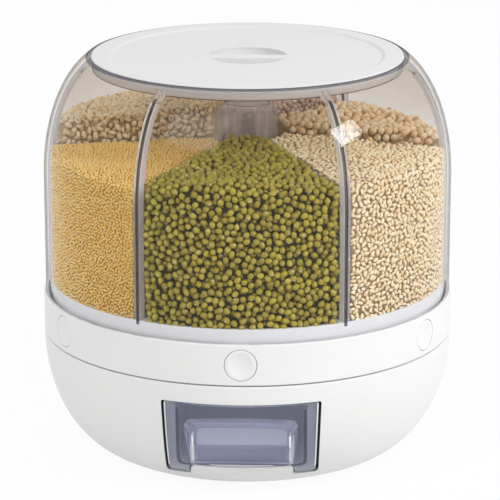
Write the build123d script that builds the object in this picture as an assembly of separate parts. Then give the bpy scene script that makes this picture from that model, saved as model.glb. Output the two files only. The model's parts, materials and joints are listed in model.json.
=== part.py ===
from build123d import *
import math
import os

# Rotating food dispenser. A bowl-shaped base with a catch drawer carries a turntable and a clear bin.
# Each compartment of the bin empties through a gate that its own push button slides open.
# Z is the axis of rotation, the feet stand on z = 0 and the drawer faces -Y. Millimetres and degrees.

# Whole object
compartments = 6
front_angle = -90.0
body_radius = 130.0  # base rim and turntable ring
run_gap = 0.3  # between faces that slide or turn past each other
fit_gap = 0.15  # between faces that are fixed together
bore_gap = 0.06  # around the spindle and the screws
cut_past = 7.0  # how far a cut to the front runs out past the base

# Base bowl
foot_stand = 1.5  # how far the feet stand below the base
foot_sink = 1.2
foot_radius = 7.0
foot_circle = 62.0
foot_count = 4
base_height = 76.5
base_flat_radius = 80.0
base_wall = 2.8
ledge_width = 2.6
ledge_height = 4.2
edge_round = 0.8  # on the rims that show
fine_round = 0.4  # on the drawer's front and the buttons

# Screws
screw_radius = 1.5
screw_head_radius = 2.8
screw_head = 1.9
screw_length = 12.0
screw_inset = 6.6  # from the inside of the base wall to the screw circle
boss_radius = 4.0

# Drawer opening, bay and drawer
lintel = 2.2  # from the deck down to the opening
sill = 11.0  # from the underside of the base up to the opening
opening_top_width = 97.5
opening_bottom_width = 93.7
opening_corner = 3.0
opening_top_corner = 1.2
tongue_width = 63.0
tongue_height = 7.5
tongue_corner = 4.0
sleeve_wall = 2.0
drawer_gap = 1.0  # shadow line above and below the drawer front
drawer_side_gap = 1.7  # wider shadow line at its sides
front_thickness = 2.6
tub_width = 79.0
tub_wall = 1.8
tub_drop = 5.0  # from the top of the opening down to the tub's rim
tub_corner = 4.0
drawer_depth = 88.0
pocket_sill = 5.1  # from the finger opening's lower corners in to the pocket's back
pocket_front_width = 70.0
pocket_front_drop = 4.35  # from the tub's rim down to the top of the pocket's mouth
pocket_back_width = 55.0
pocket_back_rise = 7.5  # from the finger opening up to the top of the pocket's back
pocket_corner = 5.0
pocket_wall = 2.4
finger_width = 60.0
finger_height = 14.0
finger_corner = 1.5

# Deck, ball race and spindle
deck_thickness = 2.8
chute_margin = 2.0
chute_wall = 1.6
chute_drop = 3.2
race_inset = 15.4  # from the inside of the base wall to the ball circle
race_rib_height = 1.6
race_rib_width = 9.0
groove_depth = 1.2
ball_radius = 2.5
ball_count = 18
ball_gap = 0.1
cage_thickness = 1.6
cage_width = 7.6
spindle_radius = 5.0
spindle_flange_radius = 9.0
spindle_flange = 3.0
spindle_boss_radius = 12.0
spindle_boss_drop = 8.5
spindle_tip = 3.0
washer_radius = 9.0
washer_thickness = 1.2
clip_radius = 7.6
clip_thickness = 1.0
clip_grip = 0.8
clip_opening = 7.0

# Turntable
seam_gap = 0.8
ring_height = 25.7
ring_wall = 2.2
flange_width = 11.5
flange_thickness = 2.0
plate_thickness = 2.8
hub_radius = 13.0
hub_rise = 9.8

# Buttons and gates
button_radius = 9.7
button_depth = 13.0
button_wall = 1.8
button_face = 2.8
dish_radius = 26.0
dish_depth = 1.3
button_set_back = 0.2
collar_wall = 1.1
collar_length = 10.5
stem_radius = 4.0
stem_sink = 0.6
socket_wall = 1.6
outlet_inset = 40.0  # from the ring's face to the outlet
outlet_length = 10.0
outlet_width = 30.0
gate_overlap = 2.0
gate_thickness = 2.0
gate_border = 4.0
gate_tail = 14.0
gate_tab = 3.0
rail_width = 3.0
rail_shelf = 2.0
rail_margin = 2.2
spring_length = 20.0
spring_radius = 3.35
spring_wire = 0.8
spring_turns = 6
spring_pin_length = 3.0
spring_post = 4.0
spring_post_width = 12.0

# Hopper floor
hopper_show = 8.6  # how far its rim stands above the ring
hopper_rim_wall = 2.2
hopper_floor_wall = 2.2
hopper_lip = 1.5
ridge_width = 5.2
funnel_root = 9.8  # how near the axis the funnels' outer forms come
funnel_merge = 0.6  # how far they run into each other
panel_slot = 2.5
hub_seat_radius = 17.5
hub_seat_depth = 7.0
spigot_height = 8.0

# Bin, dividers and hub
bin_step = 1.1  # from the ring's face in to the bin's wall
bin_wall = 2.6
bin_straight = 75.7
bin_rise = 150.0
shoulder_reach = 43.4
skirt_depth = 8.5
bead_height = 0.6
bead_width = 2.4
rim_radius = 100.0
rim_lip = 1.6
rim_seat_depth = 1.6
rim_thickness = 1.8
neck_width = 2.8
neck_depth = 6.2
neck_wall = 2.0
panel_thickness = 2.0
panel_clearance = 0.2
panel_drop = 9.0  # from the rim down to the panels' top edge
scoop_start = 40.0  # from the bin's wall in to where the top edge starts to sink
scoop_end = 44.0
scoop_drop = 21.0
guide_thickness = 1.4
guide_reach = 4.0
guide_drop = 10.0  # from the rim down to the guides' top ends
hub_post_radius = 15.0
hub_post_wall = 2.2

# Lid
lid_stand = 0.5  # how far the lid stands above the rim
lid_thickness = 2.4
lid_border = 11.6
lid_dish = 1.2
lid_dish_slope = 2.0
plug_gap = 0.8
plug_wall = 2.2
plug_depth = 6.0
seal_height = 2.4
seal_depth = 1.1
seal_reach = 0.5
grip_flange_radius = 33.0
grip_flange = 1.4
grip_radius = 25.0
grip_depth = 14.0
grip_flat = 10.0
grip_wall = 2.0
grip_bar_top = 8.0
grip_bar_bottom = 11.0
grip_bar_round = 1.5

# Heights, from the floor up
pitch = 360.0 / compartments
base_bottom_z = foot_stand
base_top_z = base_bottom_z + base_height
ring_bottom_z = base_top_z + seam_gap
ring_top_z = ring_bottom_z + ring_height
button_z = (ring_bottom_z + ring_top_z) / 2
button_hole_radius = button_radius + run_gap
collar_radius = button_hole_radius + collar_wall
plate_top_z = button_z - collar_radius - run_gap
plate_bottom_z = plate_top_z - plate_thickness
flange_top_z = plate_top_z + flange_thickness
upper_race_z = plate_bottom_z - race_rib_height
ball_z = upper_race_z + groove_depth - ball_gap - ball_radius
lower_race_z = ball_z - ball_radius - ball_gap + groove_depth
deck_top_z = lower_race_z - race_rib_height
deck_bottom_z = deck_top_z - deck_thickness
opening_top_z = deck_bottom_z - lintel
opening_bottom_z = base_bottom_z + sill
bay_floor_z = opening_bottom_z + tongue_height
tub_bottom_z = bay_floor_z + run_gap
tub_floor_z = tub_bottom_z + tub_wall
tub_rim_z = opening_top_z - tub_drop
gate_bottom_z = button_z + stem_radius - stem_sink
gate_top_z = gate_bottom_z + gate_thickness
outlet_z = gate_top_z + run_gap
hopper_top_z = ring_top_z + hopper_show
hopper_rim_bottom_z = button_z + collar_radius + run_gap
shoulder_z = ring_top_z + bin_straight
rim_z = ring_top_z + bin_rise
seat_z = rim_z - rim_seat_depth
lid_top_z = rim_z + lid_stand
panel_bottom_z = hopper_top_z - panel_slot + fit_gap
panel_top_z = rim_z - panel_drop
scoop_z = panel_top_z - scoop_drop
hub_top_z = plate_top_z + hub_rise
washer_z = hub_top_z + fit_gap
clip_z = washer_z + washer_thickness + fit_gap

# Radii and distances from the axis
screw_circle = body_radius - base_wall - screw_inset
race_radius = body_radius - base_wall - race_inset
plate_radius = body_radius - base_wall - 2 * run_gap
ring_inner_radius = body_radius - ring_wall
flange_radius = ring_inner_radius - flange_width
drawer_back = body_radius - drawer_depth
outlet_outer = body_radius - outlet_inset
outlet_inner = outlet_outer - outlet_length
gate_travel = outlet_length + gate_overlap
window_inner = outlet_outer + gate_overlap
window_outer = window_inner + outlet_length
gate_outer = window_outer + gate_border
gate_inner = outlet_inner - gate_tail
gate_width = outlet_width + 2 * gate_border
post_face = gate_inner - spring_length
button_inner = body_radius - button_depth
socket_end = body_radius - button_face
spring_pin_radius = spring_radius - spring_wire / 2 - run_gap
bin_radius = body_radius - bin_step
bin_inner_radius = bin_radius - bin_wall
shoulder_centre = bin_radius - shoulder_reach
hopper_radius = bin_inner_radius - run_gap
skirt_radius = ring_inner_radius - run_gap
neck_radius = rim_radius - rim_lip - neck_width
lid_radius = rim_radius - rim_lip - run_gap
plug_radius = neck_radius - plug_gap
spigot_radius = hub_post_radius - hub_post_wall - fit_gap

# Turned forms are drawn as radius and height
BOTTOM = (Align.CENTER, Align.CENTER, Align.MIN)


def station(k):
    """Turn that brings a piece drawn along +X over a compartment, counted from the front."""
    return Rot(0, 0, front_angle + k * pitch)


def divide(k):
    """Turn that brings a piece drawn along +X between compartment k and the next one."""
    return Rot(0, 0, front_angle + (k + 0.5) * pitch)


stations = [station(k) for k in range(compartments)]
divides = [divide(k) for k in range(compartments)]


def at(places, shape):
    """Copies of a shape at a list of places."""
    return [place * shape for place in places]


def lathe(edges, round_by=0.0, corners=()):
    """Solid turned about Z from a closed half profile, with the named corners rounded."""
    face = make_face(edges)
    if corners:
        face = fillet([face.vertices().sort_by_distance(corner)[0] for corner in corners], round_by)
    return revolve(Plane.XZ * face, Axis.Z)


def disc(radius, low, high):
    """Upright cylinder about Z between two heights."""
    return Pos(0, 0, low) * Cylinder(radius, high - low, align=BOTTOM)


def ring(inner, outer, low, high):
    """Flat ring about Z between two heights."""
    return disc(outer, low, high) - disc(inner, low, high)


def rod(radius, start, end, height):
    """Cylinder along +X between two distances from the axis."""
    return Pos(start, 0, height) * Rot(0, 90, 0) * Cylinder(radius, end - start, align=BOTTOM)


def block(start, end, width, low, high):
    """Box along +X, centred on the X axis."""
    return Pos((start + end) / 2, 0, low) * Box(end - start, width, high - low, align=BOTTOM)


def screw(tip_length):
    """Pan-head screw standing head up, with the underside of its head at z = 0."""
    head = fillet(disc(screw_head_radius, 0, screw_head).edges().group_by(Axis.Z)[-1], screw_head / 2)
    return head + disc(screw_radius, -tip_length, 0)


def bowl_radius(height, inset):
    """Radius of the bowl's form at a height, drawn in from its outer face by an inset."""
    share = (base_top_z - height) / (base_height - inset)
    return base_flat_radius + (body_radius - base_flat_radius - inset) * math.sqrt(1 - share**2)


def bowl_form(inset):
    """Solid with the outer form of the base bowl, drawn in by an inset."""
    bottom = base_bottom_z + inset
    reach = body_radius - base_flat_radius - inset
    side = EllipticalCenterArc(
        (base_flat_radius, base_top_z), reach, base_height - inset, start_angle=270, arc_size=90
    )
    floor = Line((0, bottom), (base_flat_radius, bottom))
    rest = Polyline((base_flat_radius + reach, base_top_z), (0, base_top_z), (0, bottom))
    return lathe([floor, side, rest])


def towards_front(face, back):
    """Solid from a face drawn as X and Z, run from a distance behind the front out past the base."""
    return Pos(0, -back, 0) * extrude(Plane.XZ * face, amount=body_radius - back + cut_past)


def opening_half_width(height):
    """Half the width of the drawer opening, whose sides lean outwards."""
    share = (height - opening_bottom_z) / (opening_top_z - opening_bottom_z)
    return (opening_bottom_width + (opening_top_width - opening_bottom_width) * share) / 2


def opening_face(inset, side_inset):
    """Face of the drawer opening or, with insets, of the drawer front that fills it."""
    low = opening_bottom_z + inset
    high = opening_top_z - inset
    bottom_half = opening_half_width(low) - side_inset
    top_half = opening_half_width(high) - side_inset
    outline = Polyline(
        (-bottom_half, low), (bottom_half, low), (top_half, high), (-top_half, high), close=True
    )
    frame = make_face(outline)
    frame = fillet(frame.vertices().group_by(Axis.Y)[0], opening_corner)
    frame = fillet(frame.vertices().group_by(Axis.Y)[-1], opening_top_corner)
    tongue_top = bay_floor_z + inset
    tongue = Rectangle(tongue_width + 2 * inset, 2 * (tongue_top - base_bottom_z))
    return frame - Pos(0, base_bottom_z) * fillet(tongue.vertices(), tongue_corner)


def bay_face(inset, low, high):
    """Face of the drawer's bay or, with an inset, of its tub."""
    width = tub_width + 2 * run_gap - 2 * inset
    face = Pos(0, (low + high) / 2) * Rectangle(width, high - low)
    return fillet(face.vertices().group_by(Axis.Y)[0], tub_corner)


def base_housing():
    """White bowl with the deck's ledge and screw bosses inside and the drawer opening in front."""
    shell = bowl_form(0) - bowl_form(base_wall)
    inside = bowl_radius(deck_bottom_z, base_wall)
    ledge_low = deck_bottom_z - ledge_height
    ledge_outline = Polyline(
        (inside - ledge_width, deck_bottom_z),
        (inside + base_wall / 2, deck_bottom_z),
        (inside + base_wall / 2, ledge_low),
        (bowl_radius(ledge_low, base_wall), ledge_low),
        close=True,
    )
    bosses = at(divides, Pos(screw_circle, 0, 0) * disc(boss_radius, base_bottom_z, deck_bottom_z))
    bosses = [boss & bowl_form(base_wall / 2) for boss in bosses]
    shell = shell + lathe([ledge_outline]) + bosses
    bore = disc(screw_radius + bore_gap, deck_bottom_z - screw_length, deck_bottom_z)
    shell -= at(divides, Pos(screw_circle, 0, 0) * bore)
    shell -= towards_front(opening_face(0, 0), base_flat_radius)
    foot_top = base_bottom_z + foot_sink
    shell -= at(foot_places(), disc(foot_radius + fit_gap, 0, foot_top))
    sleeve_bore = disc(screw_radius + bore_gap, 0, base_bottom_z + base_wall)
    head_bore = disc(screw_head_radius + fit_gap, 0, base_bottom_z + screw_head)
    shell -= at(sleeve_screw_places(), sleeve_bore + head_bore)
    rim = shell.edges().filter_by(GeomType.CIRCLE).group_by(Axis.Z)[-1]
    return fillet(rim.sort_by(SortBy.RADIUS)[-1], edge_round)


def foot_places():
    """Places of the feet under the flat of the base."""
    return PolarLocations(foot_circle, foot_count, start_angle=front_angle + 180 / foot_count)


def rubber_feet():
    """Round pads let into the underside of the base."""
    pad = disc(foot_radius, 0, foot_stand + foot_sink)
    pad = fillet(pad.edges().group_by(Axis.Z)[0], edge_round)
    return Compound(at(foot_places(), pad))


def sleeve_screw_places():
    """Places of the four screws that hold the drawer bay to the base floor."""
    across = tub_width / 2 - 2 * boss_radius
    rear = drawer_back + boss_radius
    fore = math.sqrt((base_flat_radius - 2 * boss_radius) ** 2 - across**2)
    return [Pos(x, -y, 0) for x in (-across, across) for y in (rear, fore)]


def drawer_sleeve():
    """Open-topped bay for the drawer, with a flange behind the opening that stops the drawer's front."""
    top = deck_bottom_z - ledge_height - fit_gap
    inside = bowl_form(base_wall + fit_gap)
    back = drawer_back - run_gap
    bay = towards_front(bay_face(0, bay_floor_z, deck_top_z), back)
    outer = towards_front(bay_face(-sleeve_wall, bay_floor_z - sleeve_wall, top), back - sleeve_wall)
    flange_face = Pos(0, (opening_bottom_z + top) / 2) * Rectangle(
        opening_top_width + 2 * sleeve_wall, top - opening_bottom_z
    )
    flange = towards_front(flange_face, drawer_back) & inside
    flange -= bowl_form(base_wall + fit_gap + sleeve_wall)
    sleeve = (outer & inside) + flange - bay
    boss_low = base_bottom_z + base_wall
    boss_high = bay_floor_z - sleeve_wall
    sleeve += at(sleeve_screw_places(), disc(boss_radius, boss_low, boss_high))
    return sleeve - at(sleeve_screw_places(), disc(screw_radius + bore_gap, boss_low, boss_high))


def sleeve_screws():
    """Screws from under the base into the bay's bosses."""
    seat = base_bottom_z + screw_head
    upright = Pos(0, 0, seat) * Rot(180, 0, 0) * screw(bay_floor_z - sleeve_wall - seat - fit_gap)
    return Compound(at(sleeve_screw_places(), upright))


def pocket_back():
    """Distance from the axis to the pocket's back, behind the lower corners of the finger opening."""
    return math.sqrt(bowl_radius(tub_floor_z, 0) ** 2 - (finger_width / 2) ** 2) - pocket_sill


def pocket(wall):
    """Finger pocket behind the drawer's front, or its shell with a wall, narrowing towards its back."""
    low = tub_floor_z - wall
    mouth_height = tub_rim_z - pocket_front_drop - tub_floor_z
    sections = []
    for width, height, distance in (
        (pocket_front_width, mouth_height, body_radius),
        (pocket_back_width, finger_height + pocket_back_rise, pocket_back() - wall),
    ):
        tall = height + 2 * wall
        face = fillet(Rectangle(width + 2 * wall, tall).vertices().group_by(Axis.Y)[-1], pocket_corner)
        sections.append(Plane((0, -distance, low + tall / 2), x_dir=(1, 0, 0), z_dir=(0, -1, 0)) * face)
    return loft(sections, ruled=True)


def drawer():
    """Translucent drawer: a front flush with the bowl, a finger pocket and a measuring tub."""
    inside_front = bowl_form(front_thickness)
    into_front = bowl_form(front_thickness / 2)
    front_face = opening_face(drawer_gap, drawer_side_gap)
    front = towards_front(front_face, base_flat_radius) & (bowl_form(0) - inside_front)
    tub = towards_front(bay_face(run_gap, tub_bottom_z, tub_rim_z), drawer_back)
    hollow = towards_front(bay_face(run_gap + tub_wall, tub_floor_z, deck_top_z), drawer_back + tub_wall)
    body = (tub & into_front) - (hollow & inside_front)
    bay_space = towards_front(bay_face(run_gap, tub_bottom_z, deck_top_z), drawer_back)
    body += pocket(pocket_wall) & into_front & bay_space
    body -= pocket(0) & inside_front
    finger_middle = tub_floor_z + finger_height / 2
    finger = fillet(Rectangle(finger_width, finger_height).vertices().group_by(Axis.Y)[-1], finger_corner)
    finger_cut = towards_front(Pos(0, finger_middle) * finger, pocket_back())
    whole = front + body - (finger_cut - bowl_form(front_thickness + tub_wall / 2))
    curved = whole.faces().filter_by(GeomType.REVOLUTION)
    return chamfer(curved.sort_by(SortBy.AREA)[-1].edges(), fine_round)


def chute_block(margin, low, high):
    """Block under the front outlet, wider than the outlet by a margin."""
    wide = outlet_width + 2 * margin
    return station(0) * block(outlet_inner - margin, outlet_outer + margin, wide, low, high)


def race_rib(low, high):
    """Raised ring that a ball groove is cut into."""
    return ring(race_radius - race_rib_width / 2, race_radius + race_rib_width / 2, low, high)


def base_deck():
    """Cover of the base with the lower ball race, the spindle's boss and the chute over the drawer."""
    radius = bowl_radius(deck_bottom_z, base_wall) - fit_gap
    deck = disc(radius, deck_bottom_z, deck_top_z)
    deck += race_rib(deck_top_z, lower_race_z)
    deck += disc(spindle_boss_radius, deck_bottom_z - spindle_boss_drop, deck_bottom_z)
    deck += chute_block(chute_margin + chute_wall, deck_bottom_z - chute_drop, deck_bottom_z)
    deck -= chute_block(chute_margin, deck_bottom_z - chute_drop, deck_top_z)
    deck -= disc(spindle_radius + bore_gap, deck_bottom_z - spindle_boss_drop, deck_top_z)
    deck -= Pos(0, 0, ball_z) * Torus(race_radius, ball_radius + ball_gap)
    hole = disc(screw_radius + bore_gap, deck_bottom_z, deck_top_z)
    return deck - at(divides, Pos(screw_circle, 0, 0) * hole)


def deck_screws():
    """Screws that hold the deck to the bosses of the base."""
    return Compound(at(divides, Pos(screw_circle, 0, deck_top_z) * screw(screw_length - fit_gap)))


def spindle():
    """Steel pivot with a flange under the deck's boss and a groove for the clip."""
    seat = deck_bottom_z - spindle_boss_drop
    pin = disc(spindle_radius, seat, clip_z + clip_thickness + spindle_tip)
    pin = chamfer(pin.edges().group_by(Axis.Z)[-1], edge_round)
    pin += disc(spindle_flange_radius, seat - spindle_flange, seat)
    groove = ring(spindle_radius - clip_grip, 2 * spindle_radius, clip_z, clip_z + clip_thickness)
    return pin - groove


def spindle_washer():
    """Thrust washer between the turntable's hub and the clip."""
    return ring(spindle_radius + bore_gap, washer_radius, washer_z, washer_z + washer_thickness)


def spindle_clip():
    """Open retaining ring in the spindle's groove."""
    low = clip_z + bore_gap
    high = clip_z + clip_thickness - bore_gap
    clip = ring(spindle_radius - clip_grip + bore_gap, clip_radius, low, high)
    return clip - block(0, clip_radius, clip_opening, low, high)


def ball_places():
    """Places of the balls around the race."""
    return PolarLocations(race_radius, ball_count)


def bearing_balls():
    """Steel balls that carry the turntable."""
    return Compound(at(ball_places(), Pos(0, 0, ball_z) * Sphere(ball_radius)))


def ball_cage():
    """Flat ring that keeps the balls apart."""
    low = ball_z - cage_thickness / 2
    high = ball_z + cage_thickness / 2
    cage = ring(race_radius - cage_width / 2, race_radius + cage_width / 2, low, high)
    return cage - at(ball_places(), disc(ball_radius + run_gap, low, high))


def gate_rail():
    """One side of a gate's guide: a shelf under its edge, a lip beside it and a stop at its end."""
    start = gate_inner - gate_travel
    end = gate_outer + run_gap + rail_margin
    shelf_top = gate_bottom_z - run_gap
    lip_inner = gate_width / 2 + run_gap
    outer = lip_inner + rail_width
    shelf_inner = lip_inner - rail_shelf
    profile = Polyline(
        (shelf_inner, plate_top_z),
        (outer, plate_top_z),
        (outer, gate_top_z - run_gap),
        (lip_inner, gate_top_z - run_gap),
        (lip_inner, shelf_top),
        (shelf_inner, shelf_top),
        close=True,
    )
    rail = Pos(start, 0, 0) * extrude(Plane.YZ * make_face(profile), amount=end - start)
    stop_inner = button_radius + collar_wall
    stop_height = gate_top_z - run_gap - plate_top_z
    stop = Pos(gate_outer + run_gap, stop_inner, plate_top_z) * Box(
        rail_margin, outer - stop_inner, stop_height, align=(Align.MIN, Align.MIN, Align.MIN)
    )
    return rail + stop


def turntable_plate():
    """Plate under the ring with the upper ball race, hub, drop holes, gate rails and spring posts."""
    plate = disc(plate_radius, plate_bottom_z, plate_top_z)
    plate += race_rib(upper_race_z, plate_bottom_z)
    plate += disc(hub_radius, plate_top_z, hub_top_z)
    plate -= disc(spindle_radius + bore_gap, plate_bottom_z, hub_top_z)
    plate -= Pos(0, 0, ball_z) * Torus(race_radius, ball_radius + ball_gap)
    drop = block(
        outlet_inner - chute_margin,
        outlet_outer + chute_margin,
        outlet_width + 2 * chute_margin,
        plate_bottom_z,
        plate_top_z,
    )
    plate -= at(stations, drop)
    rail = gate_rail()
    post_top = button_z + spring_post_width / 2
    post = block(post_face - spring_post, post_face, spring_post_width, plate_top_z, post_top)
    post += rod(spring_pin_radius, post_face, post_face + spring_pin_length, button_z)
    plate += at(stations, rail) + at(stations, mirror(rail, Plane.XZ)) + at(stations, post)
    hole = disc(screw_radius + bore_gap, plate_bottom_z, plate_top_z)
    return plate - at(divides, Pos(screw_circle, 0, 0) * hole)


def turntable_ring():
    """White band with a collared hole for each button and a flange that sits on the turntable plate."""
    groove_low = ring_top_z - skirt_depth + bead_width
    outline = Polyline(
        (ring_inner_radius, ring_bottom_z),
        (body_radius, ring_bottom_z),
        (body_radius, ring_top_z),
        (ring_inner_radius, ring_top_z),
        (ring_inner_radius, groove_low + bead_width),
        (ring_inner_radius + bead_height, groove_low + bead_width / 2),
        (ring_inner_radius, groove_low),
        close=True,
    )
    band = lathe([outline], edge_round, [(body_radius, ring_bottom_z), (body_radius, ring_top_z)])
    flange = ring(flange_radius, ring_inner_radius + ring_wall / 2, plate_top_z, flange_top_z)
    room = block(hub_radius, body_radius, 2 * collar_radius + rail_width, plate_top_z, flange_top_z)
    flange -= at(stations, room)
    collar = rod(collar_radius, body_radius - collar_length, body_radius, button_z)
    within = disc(ring_inner_radius + ring_wall / 2, ring_bottom_z, ring_top_z)
    collars = [piece & within for piece in at(stations, collar)]
    band = band + flange + collars
    band -= at(stations, rod(button_hole_radius, flange_radius, 2 * body_radius, button_z))
    outside = band.faces().filter_by(GeomType.CYLINDER).sort_by(SortBy.AREA)[-1]
    band = fillet([edge for wire in outside.inner_wires() for edge in wire.edges()], fine_round)
    hole = disc(screw_radius + bore_gap, plate_top_z, flange_top_z)
    return band - at(divides, Pos(screw_circle, 0, 0) * hole)


def rotor_screws():
    """Screws from under the turntable plate, through the ring's flange, into the hopper's posts."""
    place = Pos(screw_circle, 0, plate_bottom_z) * Rot(180, 0, 0)
    return Compound(at(divides, place * screw(screw_length - fit_gap)))


def button():
    """Hollow push button, curved with the ring and dished in front, with a socket for the gate's stem."""
    cap = rod(button_radius, button_inner, body_radius, button_z)
    cap &= disc(body_radius - button_set_back, ring_bottom_z, ring_top_z)
    cap -= Pos(body_radius - button_set_back - dish_depth + dish_radius, 0, button_z) * Sphere(dish_radius)
    face_edges = cap.faces().filter_by(GeomType.CYLINDER).sort_by(Axis.X)[-1].edges()
    cap = fillet(face_edges, fine_round)
    cap -= rod(button_radius - button_wall, button_inner, socket_end, button_z)
    cap += rod(stem_radius + bore_gap + socket_wall, button_inner, socket_end, button_z)
    return cap - rod(stem_radius + bore_gap, button_inner, socket_end, button_z)


def gate_slide():
    """Sliding gate with a window, a stem to its button and a tab for its spring."""
    gate = block(gate_inner, gate_outer, gate_width, gate_bottom_z, gate_top_z)
    gate = fillet(gate.edges().filter_by(Axis.Z), edge_round)
    gate -= block(window_inner, window_outer, outlet_width, gate_bottom_z, gate_top_z)
    gate += rod(stem_radius, window_outer, socket_end - fit_gap, button_z)
    tab_low = button_z - spring_post_width / 2
    gate += block(gate_inner, gate_inner + gate_tab, spring_post_width, tab_low, gate_bottom_z)
    return gate + rod(spring_pin_radius, gate_inner - spring_pin_length, gate_inner, button_z)


def gate_spring():
    """Compression spring between the gate's tab and its post, wound as pairs of arcs on a helix."""
    start = post_face + spring_wire / 2 + fit_gap
    climb = (spring_length - spring_wire - 2 * fit_gap) / spring_turns

    def wire_point(quarter):
        turn = quarter * math.pi / 2
        side = Vector(0, math.cos(turn), math.sin(turn))
        along = Vector(climb / (2 * math.pi), -spring_radius * side.Z, spring_radius * side.Y)
        return Vector(start + climb * quarter / 4, 0, button_z) + side * spring_radius, along.normalized()

    arcs = []
    for quarter in range(4 * spring_turns):
        here, leave = wire_point(quarter)
        there, arrive = wire_point(quarter + 1)
        span = there - here
        both = leave + arrive
        bend = 2 * (leave.dot(arrive) - 1)
        reach = (span.dot(both) - math.sqrt(span.dot(both) ** 2 - bend * span.dot(span))) / bend
        middle = (here + leave * reach + there - arrive * reach) * 0.5
        arcs.append(TangentArc(here, middle, tangent=leave))
        arcs.append(TangentArc(middle, there, tangent=span - both * reach))
    first, leave = wire_point(0)
    return sweep(Plane(first, z_dir=leave) * Circle(spring_wire / 2), path=Wire(arcs))


def sector_face(inner, outer, inset):
    """Face of one compartment seen from above, drawn in from the lines between compartments."""
    half = math.radians(pitch / 2)

    def corner(radius, side):
        along = math.sqrt(radius**2 - inset**2)
        across = along * math.sin(half) - inset * math.cos(half)
        return along * math.cos(half) + inset * math.sin(half), side * across

    return make_face([
        Line(corner(inner, -1), corner(outer, -1)),
        ThreePointArc(corner(outer, -1), (outer, 0), corner(outer, 1)),
        Line(corner(outer, 1), corner(inner, 1)),
        ThreePointArc(corner(inner, 1), (inner, 0), corner(inner, -1)),
    ])


def funnel(wall, inner, outer, inset, low):
    """Solid from a compartment's outline at the top of the hopper down to its outlet."""
    mouth = Pos(0, 0, hopper_top_z) * sector_face(inner, outer, inset)
    start = outlet_inner - wall
    end = outlet_outer + wall
    half = outlet_width / 2 + wall
    spout = make_face([
        Line((start, -half), (end, -half)),
        Line((end, -half), (end, half)),
        Line((end, half), (start, half)),
        Line((start, half), (start, -half)),
    ])
    return loft([Pos(0, 0, low) * spout, mouth], ruled=True)


def hopper_floor():
    """White floor of the bin: six funnels with a rim, posts for the screws and a spigot for the hub."""
    ridge = ridge_width / 2
    shells = funnel(hopper_floor_wall, funnel_root, hopper_radius, -funnel_merge, outlet_z)
    own_sector = extrude(sector_face(funnel_root, body_radius, 0), amount=hopper_top_z - outlet_z)
    shells &= Pos(0, 0, outlet_z) * own_sector
    floor = ring(hopper_radius - hopper_rim_wall, hopper_radius, hopper_rim_bottom_z, hopper_top_z)
    floor += at(stations, shells)
    floor += disc(hub_seat_radius, hopper_top_z - hub_seat_depth, hopper_top_z)
    post_top = hopper_top_z - panel_slot
    floor += at(divides, Pos(screw_circle, 0, 0) * disc(boss_radius, flange_top_z, post_top))
    hollow = funnel(0, hub_seat_radius, hopper_radius - hopper_rim_wall, ridge, outlet_z + hopper_lip)
    mouth = Pos(0, 0, hopper_top_z) * sector_face(hub_seat_radius, hopper_radius - hopper_rim_wall, ridge)
    hollow += extrude(mouth, amount=hopper_show)
    hollow += block(outlet_inner, outlet_outer, outlet_width, outlet_z - hopper_lip, outlet_z + hopper_lip)
    floor -= at(stations, hollow)
    slot = block(hub_post_radius, body_radius, panel_thickness + 2 * panel_clearance, post_top, rim_z)
    floor -= at(divides, slot)
    bore = disc(screw_radius + bore_gap, flange_top_z, plate_bottom_z + screw_length)
    floor -= at(divides, Pos(screw_circle, 0, 0) * bore)
    return floor + disc(spigot_radius, hopper_top_z - hopper_lip, hopper_top_z + spigot_height)


def shoulder_height():
    """Height of the shoulder's outer ellipse, which passes through the rim."""
    lean = math.acos((rim_radius - shoulder_centre) / shoulder_reach)
    return (rim_z - shoulder_z) / math.sin(lean), math.degrees(lean)


def inner_shoulder():
    """Half axes of the shoulder's inner ellipse, which meets the neck under the rim's seat."""
    reach = shoulder_reach - bin_wall
    lean = math.acos((neck_radius + neck_wall - shoulder_centre) / reach)
    return reach, (seat_z - rim_thickness - shoulder_z) / math.sin(lean), math.degrees(lean)


def shoulder_arc(reach, rise, lean):
    """Quarter of an ellipse from the bin's straight wall up over its shoulder, as far as an angle."""
    return EllipticalCenterArc((shoulder_centre, shoulder_z), reach, rise, start_angle=0, arc_size=lean)


def guide_rib():
    """Rib that follows the inside of the bin, drawn along +X."""
    reach, rise, _ = inner_shoulder()
    low = hopper_top_z + run_gap
    sunk = bin_wall / 2
    lean = math.degrees(math.asin((rim_z - guide_drop - shoulder_z) / rise))
    outer = shoulder_arc(reach + sunk, rise + sunk, lean)
    inner = shoulder_arc(reach - guide_reach, rise - guide_reach, lean)
    outline = [
        Line((bin_inner_radius + sunk, low), outer @ 0),
        outer,
        Line(outer @ 1, inner @ 1),
        inner,
        Polyline(inner @ 0, (bin_inner_radius - guide_reach, low), (bin_inner_radius + sunk, low)),
    ]
    return extrude(Plane.XZ * make_face(outline), amount=guide_thickness / 2, both=True)


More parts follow.
